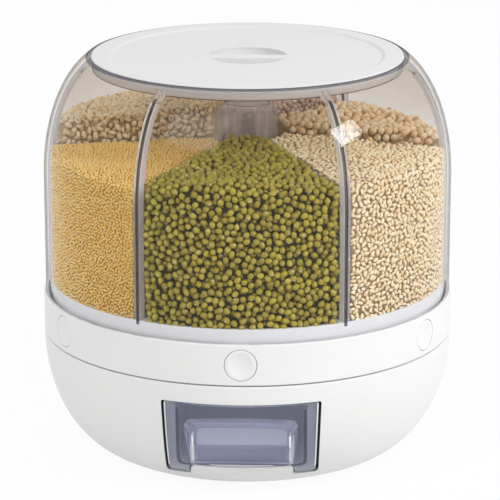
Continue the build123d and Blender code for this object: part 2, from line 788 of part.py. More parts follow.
def bin_body():
    """Clear domed bin with a snap-in skirt, guide ribs for the panels and a neck for the lid."""
    outer_rise, outer_lean = shoulder_height()
    reach, rise, lean = inner_shoulder()
    outer = shoulder_arc(shoulder_reach, outer_rise, outer_lean)
    inner = shoulder_arc(reach, rise, lean)
    skirt_z = ring_top_z - skirt_depth
    bead_z = skirt_z + bead_width
    lip_radius = rim_radius - rim_lip
    neck_z = seat_z - neck_depth
    outline = [
        Polyline(
            (bin_inner_radius, skirt_z),
            (skirt_radius, skirt_z),
            (skirt_radius, bead_z),
            (skirt_radius + bead_height, bead_z + bead_width / 2),
            (skirt_radius, bead_z + bead_width),
            (skirt_radius, ring_top_z),
            (bin_radius, ring_top_z),
            outer @ 0,
        ),
        outer,
        Polyline(
            outer @ 1,
            (lip_radius, rim_z),
            (lip_radius, seat_z),
            (neck_radius, seat_z),
            (neck_radius, neck_z),
            (neck_radius + neck_wall, neck_z),
            inner @ 1,
        ),
        inner,
        Line(inner @ 0, (bin_inner_radius, skirt_z)),
    ]
    shell = lathe(outline)
    notch = block(hub_radius, body_radius, 2 * collar_radius + rail_width, skirt_z, ring_top_z)
    shell -= at(stations, notch)
    aside = panel_thickness / 2 + panel_clearance + guide_thickness / 2
    ribs = [Pos(0, side, 0) * guide_rib() for side in (-aside, aside)]
    return shell + [turn * rib for turn in divides for rib in ribs]


def divider_panel():
    """Flat clear wall between compartments, whose top edge sweeps down from the bin's wall to the hub."""
    reach, rise, _ = inner_shoulder()
    outer_edge = bin_inner_radius - run_gap
    inner_edge = hub_post_radius + run_gap
    lean = math.degrees(math.asin((panel_top_z - shoulder_z) / (rise - run_gap)))
    side = shoulder_arc(reach - run_gap, rise - run_gap, lean)
    sink_from = bin_radius - scoop_start
    middle = (sink_from + scoop_end) / 2
    top = Bezier(
        (sink_from, panel_top_z), (middle, panel_top_z), (middle, scoop_z), (scoop_end, scoop_z)
    )
    outline = [
        Polyline(
            (inner_edge, scoop_z), (inner_edge, panel_bottom_z), (outer_edge, panel_bottom_z), side @ 0
        ),
        side,
        Line(side @ 1, top @ 0),
        top,
        Line(top @ 1, (inner_edge, scoop_z)),
    ]
    return extrude(Plane.XZ * make_face(outline), amount=panel_thickness / 2, both=True)


def divider_hub():
    """Clear centre post, closed on top, with pairs of ribs that hold the panels' inner edges."""
    hub = disc(hub_post_radius, hopper_top_z, scoop_z)
    hub = fillet(hub.edges().group_by(Axis.Z)[-1], edge_round)
    hub -= disc(hub_post_radius - hub_post_wall, hopper_top_z, scoop_z - hub_post_wall)
    aside = panel_thickness / 2 + panel_clearance + guide_thickness / 2
    rib = block(
        hub_post_radius - hub_post_wall / 2,
        hub_post_radius + guide_reach,
        guide_thickness,
        hopper_top_z,
        scoop_z - guide_reach,
    )
    return hub + [turn * Pos(0, side, 0) * rib for turn in divides for side in (-aside, aside)]


def lid():
    """White lid with a dished top, a plug for the neck and a hole for the grip."""
    plate_top = lid_top_z - lid_dish
    plate_low = plate_top - lid_thickness
    dish_radius_top = lid_radius - lid_border
    plug_low = plate_low + lid_thickness - plug_depth
    seal_high = plug_low + fit_gap + plug_wall / 2 + seal_height
    seal_low = seal_high - seal_height
    hole = grip_radius + grip_wall + fit_gap
    step = grip_flange_radius + fit_gap
    step_z = plate_top - grip_flange
    outline = Polyline(
        (hole, plate_low),
        (plug_radius - plug_wall, plate_low),
        (plug_radius - plug_wall, plug_low),
        (plug_radius, plug_low),
        (plug_radius, seal_low),
        (plug_radius - seal_depth, seal_low),
        (plug_radius - seal_depth, seal_high),
        (plug_radius, seal_high),
        (plug_radius, seat_z + run_gap),
        (lid_radius, seat_z + run_gap),
        (lid_radius, lid_top_z),
        (dish_radius_top, lid_top_z),
        (dish_radius_top - lid_dish_slope, plate_top),
        (step, plate_top),
        (step, step_z),
        (hole, step_z),
        close=True,
    )
    return lathe([outline], edge_round, [(lid_radius, lid_top_z), (dish_radius_top, lid_top_z)])


def lid_seal():
    """Soft ring in the plug's groove, with two lips towards the neck."""
    plate_low = lid_top_z - lid_dish - lid_thickness
    low = plate_low + lid_thickness - plug_depth + fit_gap + plug_wall / 2 + fit_gap
    high = low + seal_height - 2 * fit_gap
    root = plug_radius - seal_depth + fit_gap
    tip = plug_radius + seal_reach
    third = (high - low) / 3
    outline = Polyline(
        (root, low),
        (plug_radius, low),
        (tip, low + third / 2),
        (plug_radius, low + third),
        (plug_radius, high - third),
        (tip, high - third / 2),
        (plug_radius, high),
        (root, high),
        close=True,
    )
    return lathe([outline])


def grip_cup(radius, depth):
    """Flat-bottomed bowl form under the lid's grip."""
    top = lid_top_z - lid_dish
    side = EllipticalCenterArc((grip_flat, top), radius - grip_flat, depth, start_angle=270, arc_size=90)
    floor = Line((0, top - depth), (grip_flat, top - depth))
    return lathe([floor, side, Polyline((radius, top), (0, top), (0, top - depth))])


def lid_grip():
    """Round finger recess in the lid, split by a bar that the fingers hold."""
    top = lid_top_z - lid_dish
    cup = grip_cup(grip_radius + grip_wall, grip_depth + grip_wall)
    flange = disc(grip_flange_radius, top - grip_flange + fit_gap, top)
    bar_low = top - grip_depth - grip_wall
    bar_outline = Polyline(
        (-grip_bar_bottom / 2, bar_low),
        (grip_bar_bottom / 2, bar_low),
        (grip_bar_top / 2, top),
        (-grip_bar_top / 2, top),
        close=True,
    )
    bar_face = make_face(bar_outline)
    bar_face = fillet(bar_face.vertices().group_by(Axis.Y)[-1], grip_bar_round)
    bar = extrude(Plane.YZ * bar_face, amount=grip_radius + grip_wall, both=True)
    return cup + flange - grip_cup(grip_radius, grip_depth) + (bar & cup)


parts = {
    "base_housing": base_housing(),
    "rubber_feet": rubber_feet(),
    "drawer_sleeve": drawer_sleeve(),
    "sleeve_screws": sleeve_screws(),
    "drawer": drawer(),
    "base_deck": base_deck(),
    "deck_screws": deck_screws(),
    "spindle": spindle(),
    "spindle_washer": spindle_washer(),
    "spindle_clip": spindle_clip(),
    "ball_cage": ball_cage(),
    "bearing_balls": bearing_balls(),
    "turntable_plate": turntable_plate(),
    "turntable_ring": turntable_ring(),
    "rotor_screws": rotor_screws(),
    "hopper_floor": hopper_floor(),
    "bin_body": bin_body(),
    "divider_hub": divider_hub(),
    "lid": lid(),
    "lid_seal": lid_seal(),
    "lid_grip": lid_grip(),
}
for k in range(compartments):
    parts[f"divider_panel_{k + 1}"] = divide(k) * divider_panel()
    parts[f"button_{k + 1}"] = station(k) * button()
    parts[f"gate_slide_{k + 1}"] = station(k) * gate_slide()
    parts[f"gate_spring_{k + 1}"] = station(k) * gate_spring()

os.makedirs("parts", exist_ok=True)
for name, piece in parts.items():
    export_step(piece, f"parts/{name}.step")
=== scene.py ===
"""Finishes, food and studio of a rotating food dispenser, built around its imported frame."""
import json
import math
from collections import namedtuple
from functools import cached_property, partial, reduce
from itertools import product

import bmesh
import bpy
import numpy as np
from bpy.props import FloatProperty, FloatVectorProperty, IntProperty, PointerProperty
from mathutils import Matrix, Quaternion, Vector


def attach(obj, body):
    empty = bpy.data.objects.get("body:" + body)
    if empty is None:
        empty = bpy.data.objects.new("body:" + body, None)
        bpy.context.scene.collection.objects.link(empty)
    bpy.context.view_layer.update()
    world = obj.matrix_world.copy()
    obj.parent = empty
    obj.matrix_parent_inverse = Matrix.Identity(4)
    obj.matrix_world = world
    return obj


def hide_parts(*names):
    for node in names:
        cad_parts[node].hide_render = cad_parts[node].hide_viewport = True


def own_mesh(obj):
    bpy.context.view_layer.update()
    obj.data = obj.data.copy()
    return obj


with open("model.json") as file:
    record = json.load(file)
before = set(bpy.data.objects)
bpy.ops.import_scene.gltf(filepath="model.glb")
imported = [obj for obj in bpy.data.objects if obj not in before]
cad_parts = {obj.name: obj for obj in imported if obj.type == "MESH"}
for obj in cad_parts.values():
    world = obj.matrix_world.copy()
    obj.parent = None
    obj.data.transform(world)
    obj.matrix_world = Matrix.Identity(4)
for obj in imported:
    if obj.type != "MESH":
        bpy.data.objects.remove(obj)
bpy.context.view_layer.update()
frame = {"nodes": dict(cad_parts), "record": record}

bl_info = {
    "name": "Rotating food dispenser",
    "version": (1, 0, 0),
    "blender": (4, 5, 0),
    "location": "3D View > Sidebar > Dispenser",
    "description": "Finishes, food and studio for the packed dispenser",
    "category": "Object",
}

MM = 0.001

# Inside of the bin, in metres
COMPARTMENTS = 6
FRONT_ANGLE = math.radians(-90)
HALF_SECTOR = math.radians(30)
BIN_INSIDE = 126.3 * MM
SHOULDER_Z = 180.2 * MM
SHOULDER_CENTRE = 85.5 * MM
SHOULDER_REACH = 40.8 * MM
SHOULDER_RISE = 74.2 * MM
SHOULDER_LIMIT = 0.95
HOPPER_TOP = 113.1 * MM
HUB_CLEAR = 20.5 * MM
PANEL_CLEAR = 1.3 * MM
GUIDE_CLEAR = 2.9 * MM
GUIDE_DEPTH = 5.0 * MM
WALL_CLEAR = 0.25 * MM

# Ribs, neck, rim and dome of the bin, in metres
GUIDE_TOP = 244.4 * MM
GUIDE_ASIDE = 1.9 * MM
GUIDE_HALF = 0.7 * MM
GUIDE_FOOT = 4.0 * MM
GUIDE_STEPS = 9
RIB_GAP = 0.05 * MM
RIB_STANDS = 0.4 * MM
NECK_OUTSIDE = 97.7 * MM
NECK_LOW = 246.7 * MM
NECK_EDGE = (NECK_LOW - 0.5 * MM, NECK_LOW + 0.6 * MM)
NECK_JOINS = 250.9 * MM
RIM_SEAT = 253.4 * MM
PANEL_EDGE = 3.8 * MM
DOME_LOW = 195.0 * MM
DOME_RISE = 40.0 * MM

# Finger pocket and front of the drawer, in metres
POCKET_MOUTH = 102.0 * MM
POCKET_BACK = 111.1 * MM
POCKET_REACH = 114.0 * MM
POCKET_LIP = 119.4 * MM
POCKET_FLOOR = 22.1 * MM
POCKET_SHINE = 33.0 * MM
POCKET_TOP = 44.0 * MM
POCKET_SIDES = (29.1 * MM, 30.2 * MM)
POCKET_HALF = 30.0 * MM
CLOUD_HALF = 28.5 * MM
SHINE_HALF = 27.4 * MM
LINE_HALF = 29.0 * MM
FRONT_LOW = 13.5 * MM
FRONT_HALF = 45.15 * MM
FRONT_SPREAD = 0.035

# How strongly places in the see-through pieces are clouded, and how strongly shade, light and highlights
# are painted on them
RIB_MILK = 0.34
NECK_PAINTED_LIGHT = 0.4
HUB_MILK = 0.12
POCKET_PAINTED_LIGHT = 0.55
RIM_PAINTED_SHADE = 0.62
NECK_PAINTED_SHADE = 0.45
OUTLINE_PAINTED_SHADE = 0.5
PANEL_PAINTED_SHADE = 0.7
BACK_PAINTED_LIGHT = 0.5
FLOOR_PAINTED_LIGHT = 0.7
PAINTED_GLINT = 0.75
LINE_PAINTED_SHADE = 0.75

# Where a surface counts as seen edge on, and the gloss of clear panes
EDGE_ON = 0.8
EDGE_SPAN = 0.125
SHEEN = 0.016
SHEEN_GRAZING = 0.4
SHEEN_POWER = 5.0
PASSING_TINT = (0.96, 0.96, 0.97)

# How much rougher than the shell the lid and the inner mouldings are
LID_ROUGHER = 0.16
INNER_ROUGHER = 0.12

# Scales of the noise in the materials
PORES = 1300.0
CLOUDS = 11.0
STREAKS = 60.0
RUBBER_GRAIN = 2200.0
SCRATCHES = 3000.0
MOTTLE = 1700.0
SHADE_MOTTLE = 500.0
PAPER = 40.0

# How the food lies, with lengths in metres
SAG_HALF = 60.0 * MM
RIPPLE = 0.7 * MM
RIPPLE_WAVES = ((0.017, 0.013), (0.009, 0.011))
SHOWN_DEPTH = 0.04
SHOWN_DROP = 0.02
SLIM = 1.5
STRAY_TILT = math.radians(14)
TRIES = 16
LAYERS = 2
LAYER_DEPTH = 0.8
SIZE_SPREAD = 0.05
SMALLEST = 0.88
HEART_INSET = 1.1
HEART_RINGS = 24
HEART_RAYS = 25
HEART_NARROWEST = 0.45

# Lamps by name, size, place and roll, and the rest of the studio
AIM = (0.0, 0.0, 0.14)
LAMPS = (
    ("softbox", (0.37, 0.26), (1.04, -0.52, 0.78), math.radians(12)),
    ("fill", (1.2, 1.2), (-0.95, -1.45, 1.6), 0.0),
    ("back", (1.8, 0.8), (-0.2, 1.5, 1.5), 0.0),
)
BOUNCES = 20
CLEAR_BOUNCES = 24
FLOOR_REACH = 6.0
FLOOR_GLOW = 0.94
FLOOR_GREYS = (0.84, 0.86)
PLAIN_WHITE = (1.0, 1.0, 1.0)

# Light paths that show a surface, and those that only light what lies behind it
SHOWN_RAYS = ("Is Camera Ray", "Is Transmission Ray", "Is Glossy Ray")
LIT_RAYS = ("Is Shadow Ray", "Is Diffuse Ray")

Place = namedtuple("Place", "y height radius aside")


def number(label, text, default, **more):
    """Property for a number."""
    return FloatProperty(name=label, description=text, default=default, **more)


def length(label, text, default):
    """Property for a length in metres."""
    return number(label, text, default, unit="LENGTH", precision=4)


def share(label, text, default):
    """Property for a number from 0 to 1."""
    return number(label, text, default, min=0.0, max=1.0, subtype="FACTOR")


def tint(label, text, default):
    """Property for a linear colour."""
    return FloatVectorProperty(
        name=label, description=text, default=default, size=3, min=0.0, max=1.0, subtype="COLOR"
    )


def food(size, dark, pale, mark, gap, gloss, levels, sag, seed):
    """Properties of one food, with its lengths given in millimetres."""
    long, wide, thick = size
    wall_level, hub_level = levels
    return {
        "long": length("Length", "Length of a grain", long * MM),
        "wide": length("Width", "Width of a grain", wide * MM),
        "thick": length("Thickness", "Thickness of a grain", thick * MM),
        "dark": tint("Dark", "Darkest colour", dark),
        "pale": tint("Pale", "Palest colour", pale),
        "mark": tint("Mark", "Colour of the eye, germ, beak or crease", mark),
        # Gap: the gaps show the heap's heart, which is painted darker than the grains as their shade.
        "gap": share("Gap", "Brightness of the gaps between grains", gap),
        "gloss": share("Roughness", "Roughness of the skin", gloss),
        "wall_level": length("Wall level", "Height of the food at the bin's wall", wall_level * MM),
        "hub_level": length("Hub level", "Height of the food at the hub", hub_level * MM),
        "sag": length("Corner sag", "How far the food sinks towards the dividers", sag * MM),
        "seed": IntProperty(name="Seed", description="Seed of the random places and turns", default=seed),
    }


class FinishSettings(bpy.types.PropertyGroup):
    """Colours and gloss of the moulded pieces, and the shade and light painted on them."""

    white: tint("White", "Colour of the outer white mouldings", (0.82, 0.82, 0.815))
    # Lid white: the lid is the same white plastic as the base, coloured darker as painted shade that
    # offsets the extra light on its top.
    lid_shaded_white: tint("Lid white", "Colour of the lid and its grip", (0.73, 0.73, 0.73))
    lid_passing: share("Lid passing", "Share of light that a face of the lid lets by", 0.65)
    inner_white: tint("Inner white", "Colour of the white pieces inside", (0.82, 0.82, 0.825))
    # Bay grey: painted shade; the bay is a white moulding, painted dark grey as the dim inside of the bay.
    bay_painted_shade: tint("Bay grey", "Colour of the drawer's bay", (0.24, 0.24, 0.26))
    satin: share("Satin", "Roughness of the white mouldings", 0.34)
    clear: tint("Clear", "Tint of the clear bin", (0.97, 0.97, 0.975))
    # Dome: the dome's clear plastic is tinted darker and warmer than the wall, as painted shade with the
    # hue of the food reflected in it.
    dome: tint("Dome", "Tint of the bin's dome", (0.84, 0.77, 0.69))
    dome_pane_painted_shade: tint("Dome pane", "Tint of one clear face of the dome", (0.885, 0.855, 0.815))
    clear_ior: number("Clear index", "Refractive index of the clear plastic", 1.45)
    divider: tint("Divider", "Tint of the dividers and their hub", (0.90, 0.90, 0.93))
    pane: tint("Pane", "Tint of one clear face of a divider", (0.96, 0.96, 0.97))
    # Milk: also the colour of the light painted on the bin's neck.
    milk: tint("Milk", "Colour of the milky ribs, neck and hub", (0.95, 0.95, 0.97))
    # Edge: the dark grey of the shade painted on the dividers' outer edges and on the bin's rim, neck edge
    # and outline; the plastic there is clear.
    edge: tint("Edge", "Colour of the dividers' edges and the bin's rim and outline", (0.09, 0.09, 0.12))
    smoke: tint("Smoke", "Tint of the drawer", (0.84, 0.87, 0.97))
    # Smoke body: this colour also paints light on the drawer pocket's back and floor.
    smoke_body_and_painted_light: tint("Smoke body", "Colour of the drawer's cloudy plastic", (0.56, 0.58, 0.78))
    smoke_cloud: share("Smoke cloud", "How cloudy the drawer is", 0.12)
    # Smoke light: colour of the light painted on the drawer's pocket.
    smoke_painted_light: tint("Smoke light", "Colour of the pale places in the drawer's pocket", (0.74, 0.74, 0.80))
    # Smoke glint: colour of the highlights painted on the drawer's edges.
    smoke_painted_glint: tint("Smoke glint", "Colour of the drawer's bright edges", (0.95, 0.95, 0.97))
    # Smoke line: colour of the dark lines of shade painted along the drawer pocket's floor.
    smoke_painted_shade: tint("Smoke line", "Colour of the drawer's dark edges", (0.05, 0.05, 0.09))
    smoke_roughness: share("Smoke roughness", "Roughness of the drawer", 0.06)
    rubber: tint("Rubber", "Colour of the feet", (0.06, 0.06, 0.062))
    seal: tint("Seal", "Colour of the lid's seal", (0.6, 0.6, 0.6))
    steel: tint("Steel", "Colour of the screws, springs and balls", (0.62, 0.62, 0.63))


class MungBeanSettings(bpy.types.PropertyGroup):
    """Green beans in the front compartment."""

    __annotations__ = food(
        size=(5.0, 4.0, 3.9), levels=(201.0, 211.0), sag=5.0,
        dark=(0.25, 0.195, 0.008), pale=(0.47, 0.38, 0.025), mark=(0.66, 0.6, 0.36),
        gap=0.2, gloss=0.3, seed=11,
    )


class MilletSettings(bpy.types.PropertyGroup):
    """Fine yellow grain in the front left compartment."""

    __annotations__ = food(
        size=(2.0, 1.8, 1.75), levels=(197.0, 203.0), sag=2.0,
        dark=(0.88, 0.51, 0.07), pale=(1.0, 0.78, 0.3), mark=(0.8, 0.66, 0.36),
        gap=0.85, gloss=0.45, seed=12,
    )


class BrownRiceSettings(bpy.types.PropertyGroup):
    """Slim beige grains in the front right compartment."""

    __annotations__ = food(
        size=(4.0, 2.2, 1.9), levels=(198.0, 206.0), sag=2.0,
        dark=(0.94, 0.69, 0.39), pale=(1.0, 0.91, 0.64), mark=(0.9, 0.84, 0.72),
        gap=0.55, gloss=0.42, seed=13,
    )


class ChickpeaSettings(bpy.types.PropertyGroup):
    """Round golden peas in the rear right compartment."""

    __annotations__ = food(
        size=(6.2, 4.8, 4.6), levels=(203.0, 214.0), sag=2.0,
        dark=(0.92, 0.58, 0.27), pale=(1.0, 0.9, 0.62), mark=(0.6, 0.38, 0.18),
        gap=0.6, gloss=0.45, seed=14,
    )


class SorghumSettings(bpy.types.PropertyGroup):
    """Small pinkish grain in the rear compartment."""

    __annotations__ = food(
        size=(4.2, 3.8, 3.3), levels=(211.0, 215.0), sag=2.0,
        dark=(0.72, 0.49, 0.36), pale=(0.98, 0.82, 0.68), mark=(0.7, 0.54, 0.42),
        gap=0.5, gloss=0.45, seed=15,
    )


class WheatSettings(bpy.types.PropertyGroup):
    """Plump tan kernels in the rear left compartment."""

    __annotations__ = food(
        size=(5.6, 3.5, 3.1), levels=(211.5, 225.0), sag=3.0,
        dark=(0.95, 0.69, 0.37), pale=(1.0, 0.92, 0.68), mark=(0.26, 0.14, 0.07),
        gap=0.75, gloss=0.5, seed=16,
    )


class StudioSettings(bpy.types.PropertyGroup):
    """Camera, lamps and floor."""

    camera_distance: length("Distance", "From the axis to the camera, level with the floor", 1.786)
    camera_height: length("Height", "Height of the camera", 0.6365)
    camera_pitch: number("Pitch", "Angle the camera looks down", 0.27797, unit="ROTATION")
    camera_turn: number("Turn", "Angle of the camera about the axis", math.radians(1.85), unit="ROTATION")
    lens: number("Lens", "Focal length in millimetres", 209.2)
    shift: number("Shift", "Sideways shift of the picture", 0.005)
    ambient: number("Ambient", "Strength of the world's light", 0.64)
    softbox: number("Softbox", "Power of the softbox on the right", 7.5, unit="POWER")
    fill: number("Fill", "Power of the lamp on the left", 13.0, unit="POWER")
    back: number("Back", "Power of the lamp behind", 4.0, unit="POWER")


class DispenserSettings(bpy.types.PropertyGroup):
    """Everything a user may change."""

    finish: PointerProperty(type=FinishSettings)
    mung_beans: PointerProperty(type=MungBeanSettings)
    millet: PointerProperty(type=MilletSettings)
    brown_rice: PointerProperty(type=BrownRiceSettings)
    chickpeas: PointerProperty(type=ChickpeaSettings)
    sorghum: PointerProperty(type=SorghumSettings)
    wheat: PointerProperty(type=WheatSettings)
    studio: PointerProperty(type=StudioSettings)


def arithmetic(operation, swapped=False):
    """Method of a shader value that adds a Math node."""

    def method(self, other):
        values = (other, self) if swapped else (self, other)
        return self.shader.math(operation, *values)

    return method


class Sock:
    """A shader value. Arithmetic on it adds Math nodes."""

    def __init__(self, shader, socket):
        self.shader = shader
        self.socket = socket

    __add__ = arithmetic("ADD")
    __radd__ = arithmetic("ADD", swapped=True)
    __sub__ = arithmetic("SUBTRACT")
    __rsub__ = arithmetic("SUBTRACT", swapped=True)
    __mul__ = arithmetic("MULTIPLY")
    __rmul__ = arithmetic("MULTIPLY", swapped=True)
    __gt__ = arithmetic("GREATER_THAN")
    __lt__ = arithmetic("LESS_THAN")


class Shader:
    """A node tree and the ways to add to it."""

    def __init__(self, tree):
        self.tree = tree
        tree.nodes.clear()

    def node(self, kind, sockets=None, out=0, **settings):
        """Adds a node of any type and returns one of its outputs."""
        node = self.tree.nodes.new(kind)
        for name, value in settings.items():
            setattr(node, name, value)
        for key, value in (sockets or {}).items():
            if isinstance(value, Sock):
                self.tree.links.new(value.socket, node.inputs[key])
            else:
                node.inputs[key].default_value = value
        return Sock(self, node.outputs[out])

    def math(self, operation, *values, clamp=False):
        """Result of a Math node."""
        return self.node("ShaderNodeMath", dict(enumerate(values)), operation=operation, use_clamp=clamp)

    @cached_property
    def at(self):
        """Place of the shaded point: y, height, and distances from the axis and aside."""
        spot = self.node("ShaderNodeTexCoord", out="Object")
        x, y, height = [self.node("ShaderNodeSeparateXYZ", {0: spot}, out=axis) for axis in range(3)]
        return Place(y, height, self.math("SQRT", x * x + y * y), self.math("ABSOLUTE", x))

    def ramp(self, value, low, span):
        """From 0 where a value is low to 1 where it is a span higher."""
        return self.math("MULTIPLY", value - low, 1 / span, clamp=True)

    def most(self, *values):
        """Largest of some values."""
        return reduce(partial(self.math, "MAXIMUM"), values)

    def facing(self):
        """From 0 where a surface is seen straight on to 1 where it is seen edge on."""
        return self.node("ShaderNodeLayerWeight", {"Blend": 0.5}, out="Facing")

    def mix(self, factor, first, second):
        """Colour between two colours."""
        return self.node("ShaderNodeMix", {0: factor, 6: first, 7: second}, out=2, data_type="RGBA")

    def noise(self, scale, detail=2.0):
        """Noise from 0 to 1 in the object's own space."""
        place = self.node("ShaderNodeTexCoord", out="Object")
        return self.node("ShaderNodeTexNoise", {"Vector": place, "Scale": scale, "Detail": detail})

    def bump(self, height, strength, distance):
        """Normal from a height."""
        return self.node("ShaderNodeBump", {"Strength": strength, "Distance": distance, "Height": height})

    def path(self, kinds):
        """One for light paths of any of the named kinds."""
        return self.most(*[self.node("ShaderNodeLightPath", out=kind) for kind in kinds])

    def principled(self, sockets):
        """Principled surface."""
        return self.node("ShaderNodeBsdfPrincipled", sockets)

    def plain(self, kind, colour):
        """Diffuse, translucent or transparent surface of one colour."""
        return self.node(f"ShaderNodeBsdf{kind}", {"Color": rgba(colour)})

    def blend(self, factor, first, second):
        """Surface between two surfaces."""
        return self.node("ShaderNodeMixShader", {0: factor, 1: first, 2: second})


def material(name):
    """Empty material and its shader."""
    made = bpy.data.materials.new(name)
    made.use_nodes = True
    return made, Shader(made.node_tree)


def rgba(colour, scale=1.0):
    """Colour with full alpha, darkened by a factor."""
    return (*[channel * scale for channel in colour], 1.0)


def close(shader, surface, kind="Material"):
    """Links a surface to the output of its material or world."""
    output = shader.tree.nodes.new(f"ShaderNodeOutput{kind}")
    shader.tree.links.new(surface.socket, output.inputs["Surface"])


def moulded(name, colour, roughness, passing=0.0, shadow=None):
    """Satin moulded plastic with a fine eggshell texture and slight clouding.

    A thin moulding lets some light by, and where a shadow mask is given, shade is painted nearly black on
    it."""
    made, shader = material(name)
    pores = shader.noise(PORES)
    clouded_and_shaded = shader.mix(shader.noise(CLOUDS, 4.0), rgba(colour, 0.975), rgba(colour))
    if shadow:
        # Painted shade: nearly black where the shadow mask is one.
        clouded_and_shaded = shader.mix(shadow(shader), clouded_and_shaded, rgba(colour, 0.08))
    surface = shader.principled({
        "Base Color": clouded_and_shaded,
        "Roughness": roughness - 0.05 + 0.1 * pores,
        "IOR": 1.47,
        "Specular IOR Level": 0.3,
        "Normal": shader.bump(pores, 0.05, 0.0001),
    })
    if passing:
        clear = shader.plain("Transparent", PLAIN_WHITE)
        surface = shader.blend(passing * shader.path(LIT_RAYS), surface, clear)
    close(shader, surface)
    return made


def within(value, low, high):
    """One where a value lies between two numbers."""
    return (value > low) * (value < high)


def edge_on(shader):
    """From 0 to 1 where a surface is seen nearly edge on."""
    return shader.ramp(shader.facing(), EDGE_ON, EDGE_SPAN)


def wall_depth(shader):
    """How far in from the bin's inner face a point lies."""
    rise = shader.ramp(shader.at.height, SHOULDER_Z, SHOULDER_RISE)
    return SHOULDER_CENTRE + SHOULDER_REACH * shader.math("SQRT", 1.0 - rise * rise) - shader.at.radius


def on_rib(shader):
    """One on the ribs that stand in from the bin's wall."""
    at = shader.at
    return (wall_depth(shader) > RIB_STANDS) * (at.height > HOPPER_TOP) * (at.radius > NECK_OUTSIDE)


def bin_milk_and_painted_light(shader):
    """How milky the bin is: on its ribs, and on the neck that holds the lid, where the milk is painted
    light that pales the band under the lid.
    """
    at = shader.at
    neck = (at.radius < NECK_OUTSIDE) * (at.height > NECK_EDGE[1])
    return RIB_MILK * on_rib(shader) + NECK_PAINTED_LIGHT * neck


def painted_bin_shade(shader):
    """Painted shade on the bin: at its outline, on its rim beside the lid and at its neck's lower edge."""
    at = shader.at
    edge = (at.radius < NECK_OUTSIDE) * within(at.height, *NECK_EDGE)
    return RIM_PAINTED_SHADE * (at.height > RIM_SEAT) + NECK_PAINTED_SHADE * edge + OUTLINE_PAINTED_SHADE * edge_on(shader)


def wall_pane(shader):
    """Where light passes the bin plainly: its wall, but not its ribs or its outline."""
    return (1.0 - edge_on(shader)) * (1.0 - on_rib(shader))


def painted_panel_shade(shader):
    """Painted shade on a divider: at its outer edge, in the shadow between its guide ribs."""
    return PANEL_PAINTED_SHADE * (wall_depth(shader) < PANEL_EDGE) * (shader.at.height > HOPPER_TOP)


def panel_pane(shader):
    """Where light passes a divider plainly: through its faces, not at its outer edge."""
    return wall_depth(shader) > PANEL_EDGE


def hub_milk(shader):
    """How milky the hub is: the same all over."""
    return HUB_MILK


def drawer_haze_and_painted_light(shader, haze):
    """How cloudy the drawer is: a haze all over, and painted light as extra milk on the back and floor of
    its finger pocket.
    """
    at = shader.at
    back = (at.radius < POCKET_REACH) * (at.aside < POCKET_HALF)
    floor = (at.height < POCKET_FLOOR + 1.4 * MM) * (at.aside < CLOUD_HALF)
    return haze + POCKET_PAINTED_LIGHT * shader.most(back, floor) * (at.y < -POCKET_MOUTH)


def painted_pocket_light(shader):
    """Painted light on the drawer: high on its finger pocket's back, and on the pocket's floor."""
    at = shader.at
    upper = within(at.height, POCKET_SHINE, POCKET_TOP) * (at.radius < POCKET_REACH)
    back = upper * (at.aside < SHINE_HALF)
    level = within(at.height, POCKET_FLOOR - 0.4 * MM, POCKET_FLOOR + 0.4 * MM)
    floor = level * (at.aside < POCKET_HALF)
    return BACK_PAINTED_LIGHT * back * (at.y < -POCKET_MOUTH) + FLOOR_PAINTED_LIGHT * floor * (at.y < -POCKET_BACK)


def front_side(shader):
    """Half the width of the drawer's front at a point's height."""
    return FRONT_HALF + FRONT_SPREAD * (shader.at.height - FRONT_LOW)


def painted_drawer_glints(shader):
    """Painted highlights where the drawer's edges would catch the light: beside its pocket and round its
    front.
    """
    at = shader.at
    beside = within(at.aside, *POCKET_SIDES) * within(at.height, POCKET_FLOOR, POCKET_TOP)
    front = at.aside > front_side(shader) - 0.8 * MM
    foot = at.height < FRONT_LOW + 0.7 * MM
    return PAINTED_GLINT * shader.most(beside, front, foot) * (at.y < -POCKET_MOUTH)


def painted_drawer_shade(shader):
    """Painted shade on the drawer: dark lines along the back and front edges of its finger pocket's floor.
    """
    at = shader.at
    corner = within(at.y, -POCKET_BACK - 1.0 * MM, -POCKET_BACK + 1.0 * MM)
    back = (at.height < POCKET_FLOOR + 1.7 * MM) * corner
    front = (at.height < POCKET_FLOOR + 0.3 * MM) * (at.radius > POCKET_LIP)
    return LINE_PAINTED_SHADE * shader.most(back, front) * (at.aside < LINE_HALF)


def bay_gap_painted_shade(shader):
    """One on the bay's flange where it shows beside the drawer's front, where shade is painted nearly
    black.
    """
    return shader.at.aside > front_side(shader) - 0.6 * MM


def in_dome(shader):
    """How far up the bin's shoulder a point is, from 0 at the wall to 1 in the dome."""
    return shader.ramp(shader.at.height, DOME_LOW, DOME_RISE)


def dome_shaded_tint(shader, low, high):
    """Tint of the bin, from its wall to its dome, which is darker and warmer as painted shade with the hue
    of the food reflected in it.
    """
    return shader.mix(in_dome(shader), rgba(low), rgba(high))


def domed_pane(shader, low, high):
    """Plain clear sheet whose tint runs from the bin's wall to its dome, darker and warmer there as painted
    shade.
    """
    panes = [shader.plain("Transparent", colour) for colour in (low, high)]
    return shader.blend(in_dome(shader), *panes)


def streaky(shader, colour):
    """Tint with faint streaks from the mould."""
    return shader.mix(shader.noise(STREAKS, 3.0), rgba(colour, 0.97), rgba(colour))


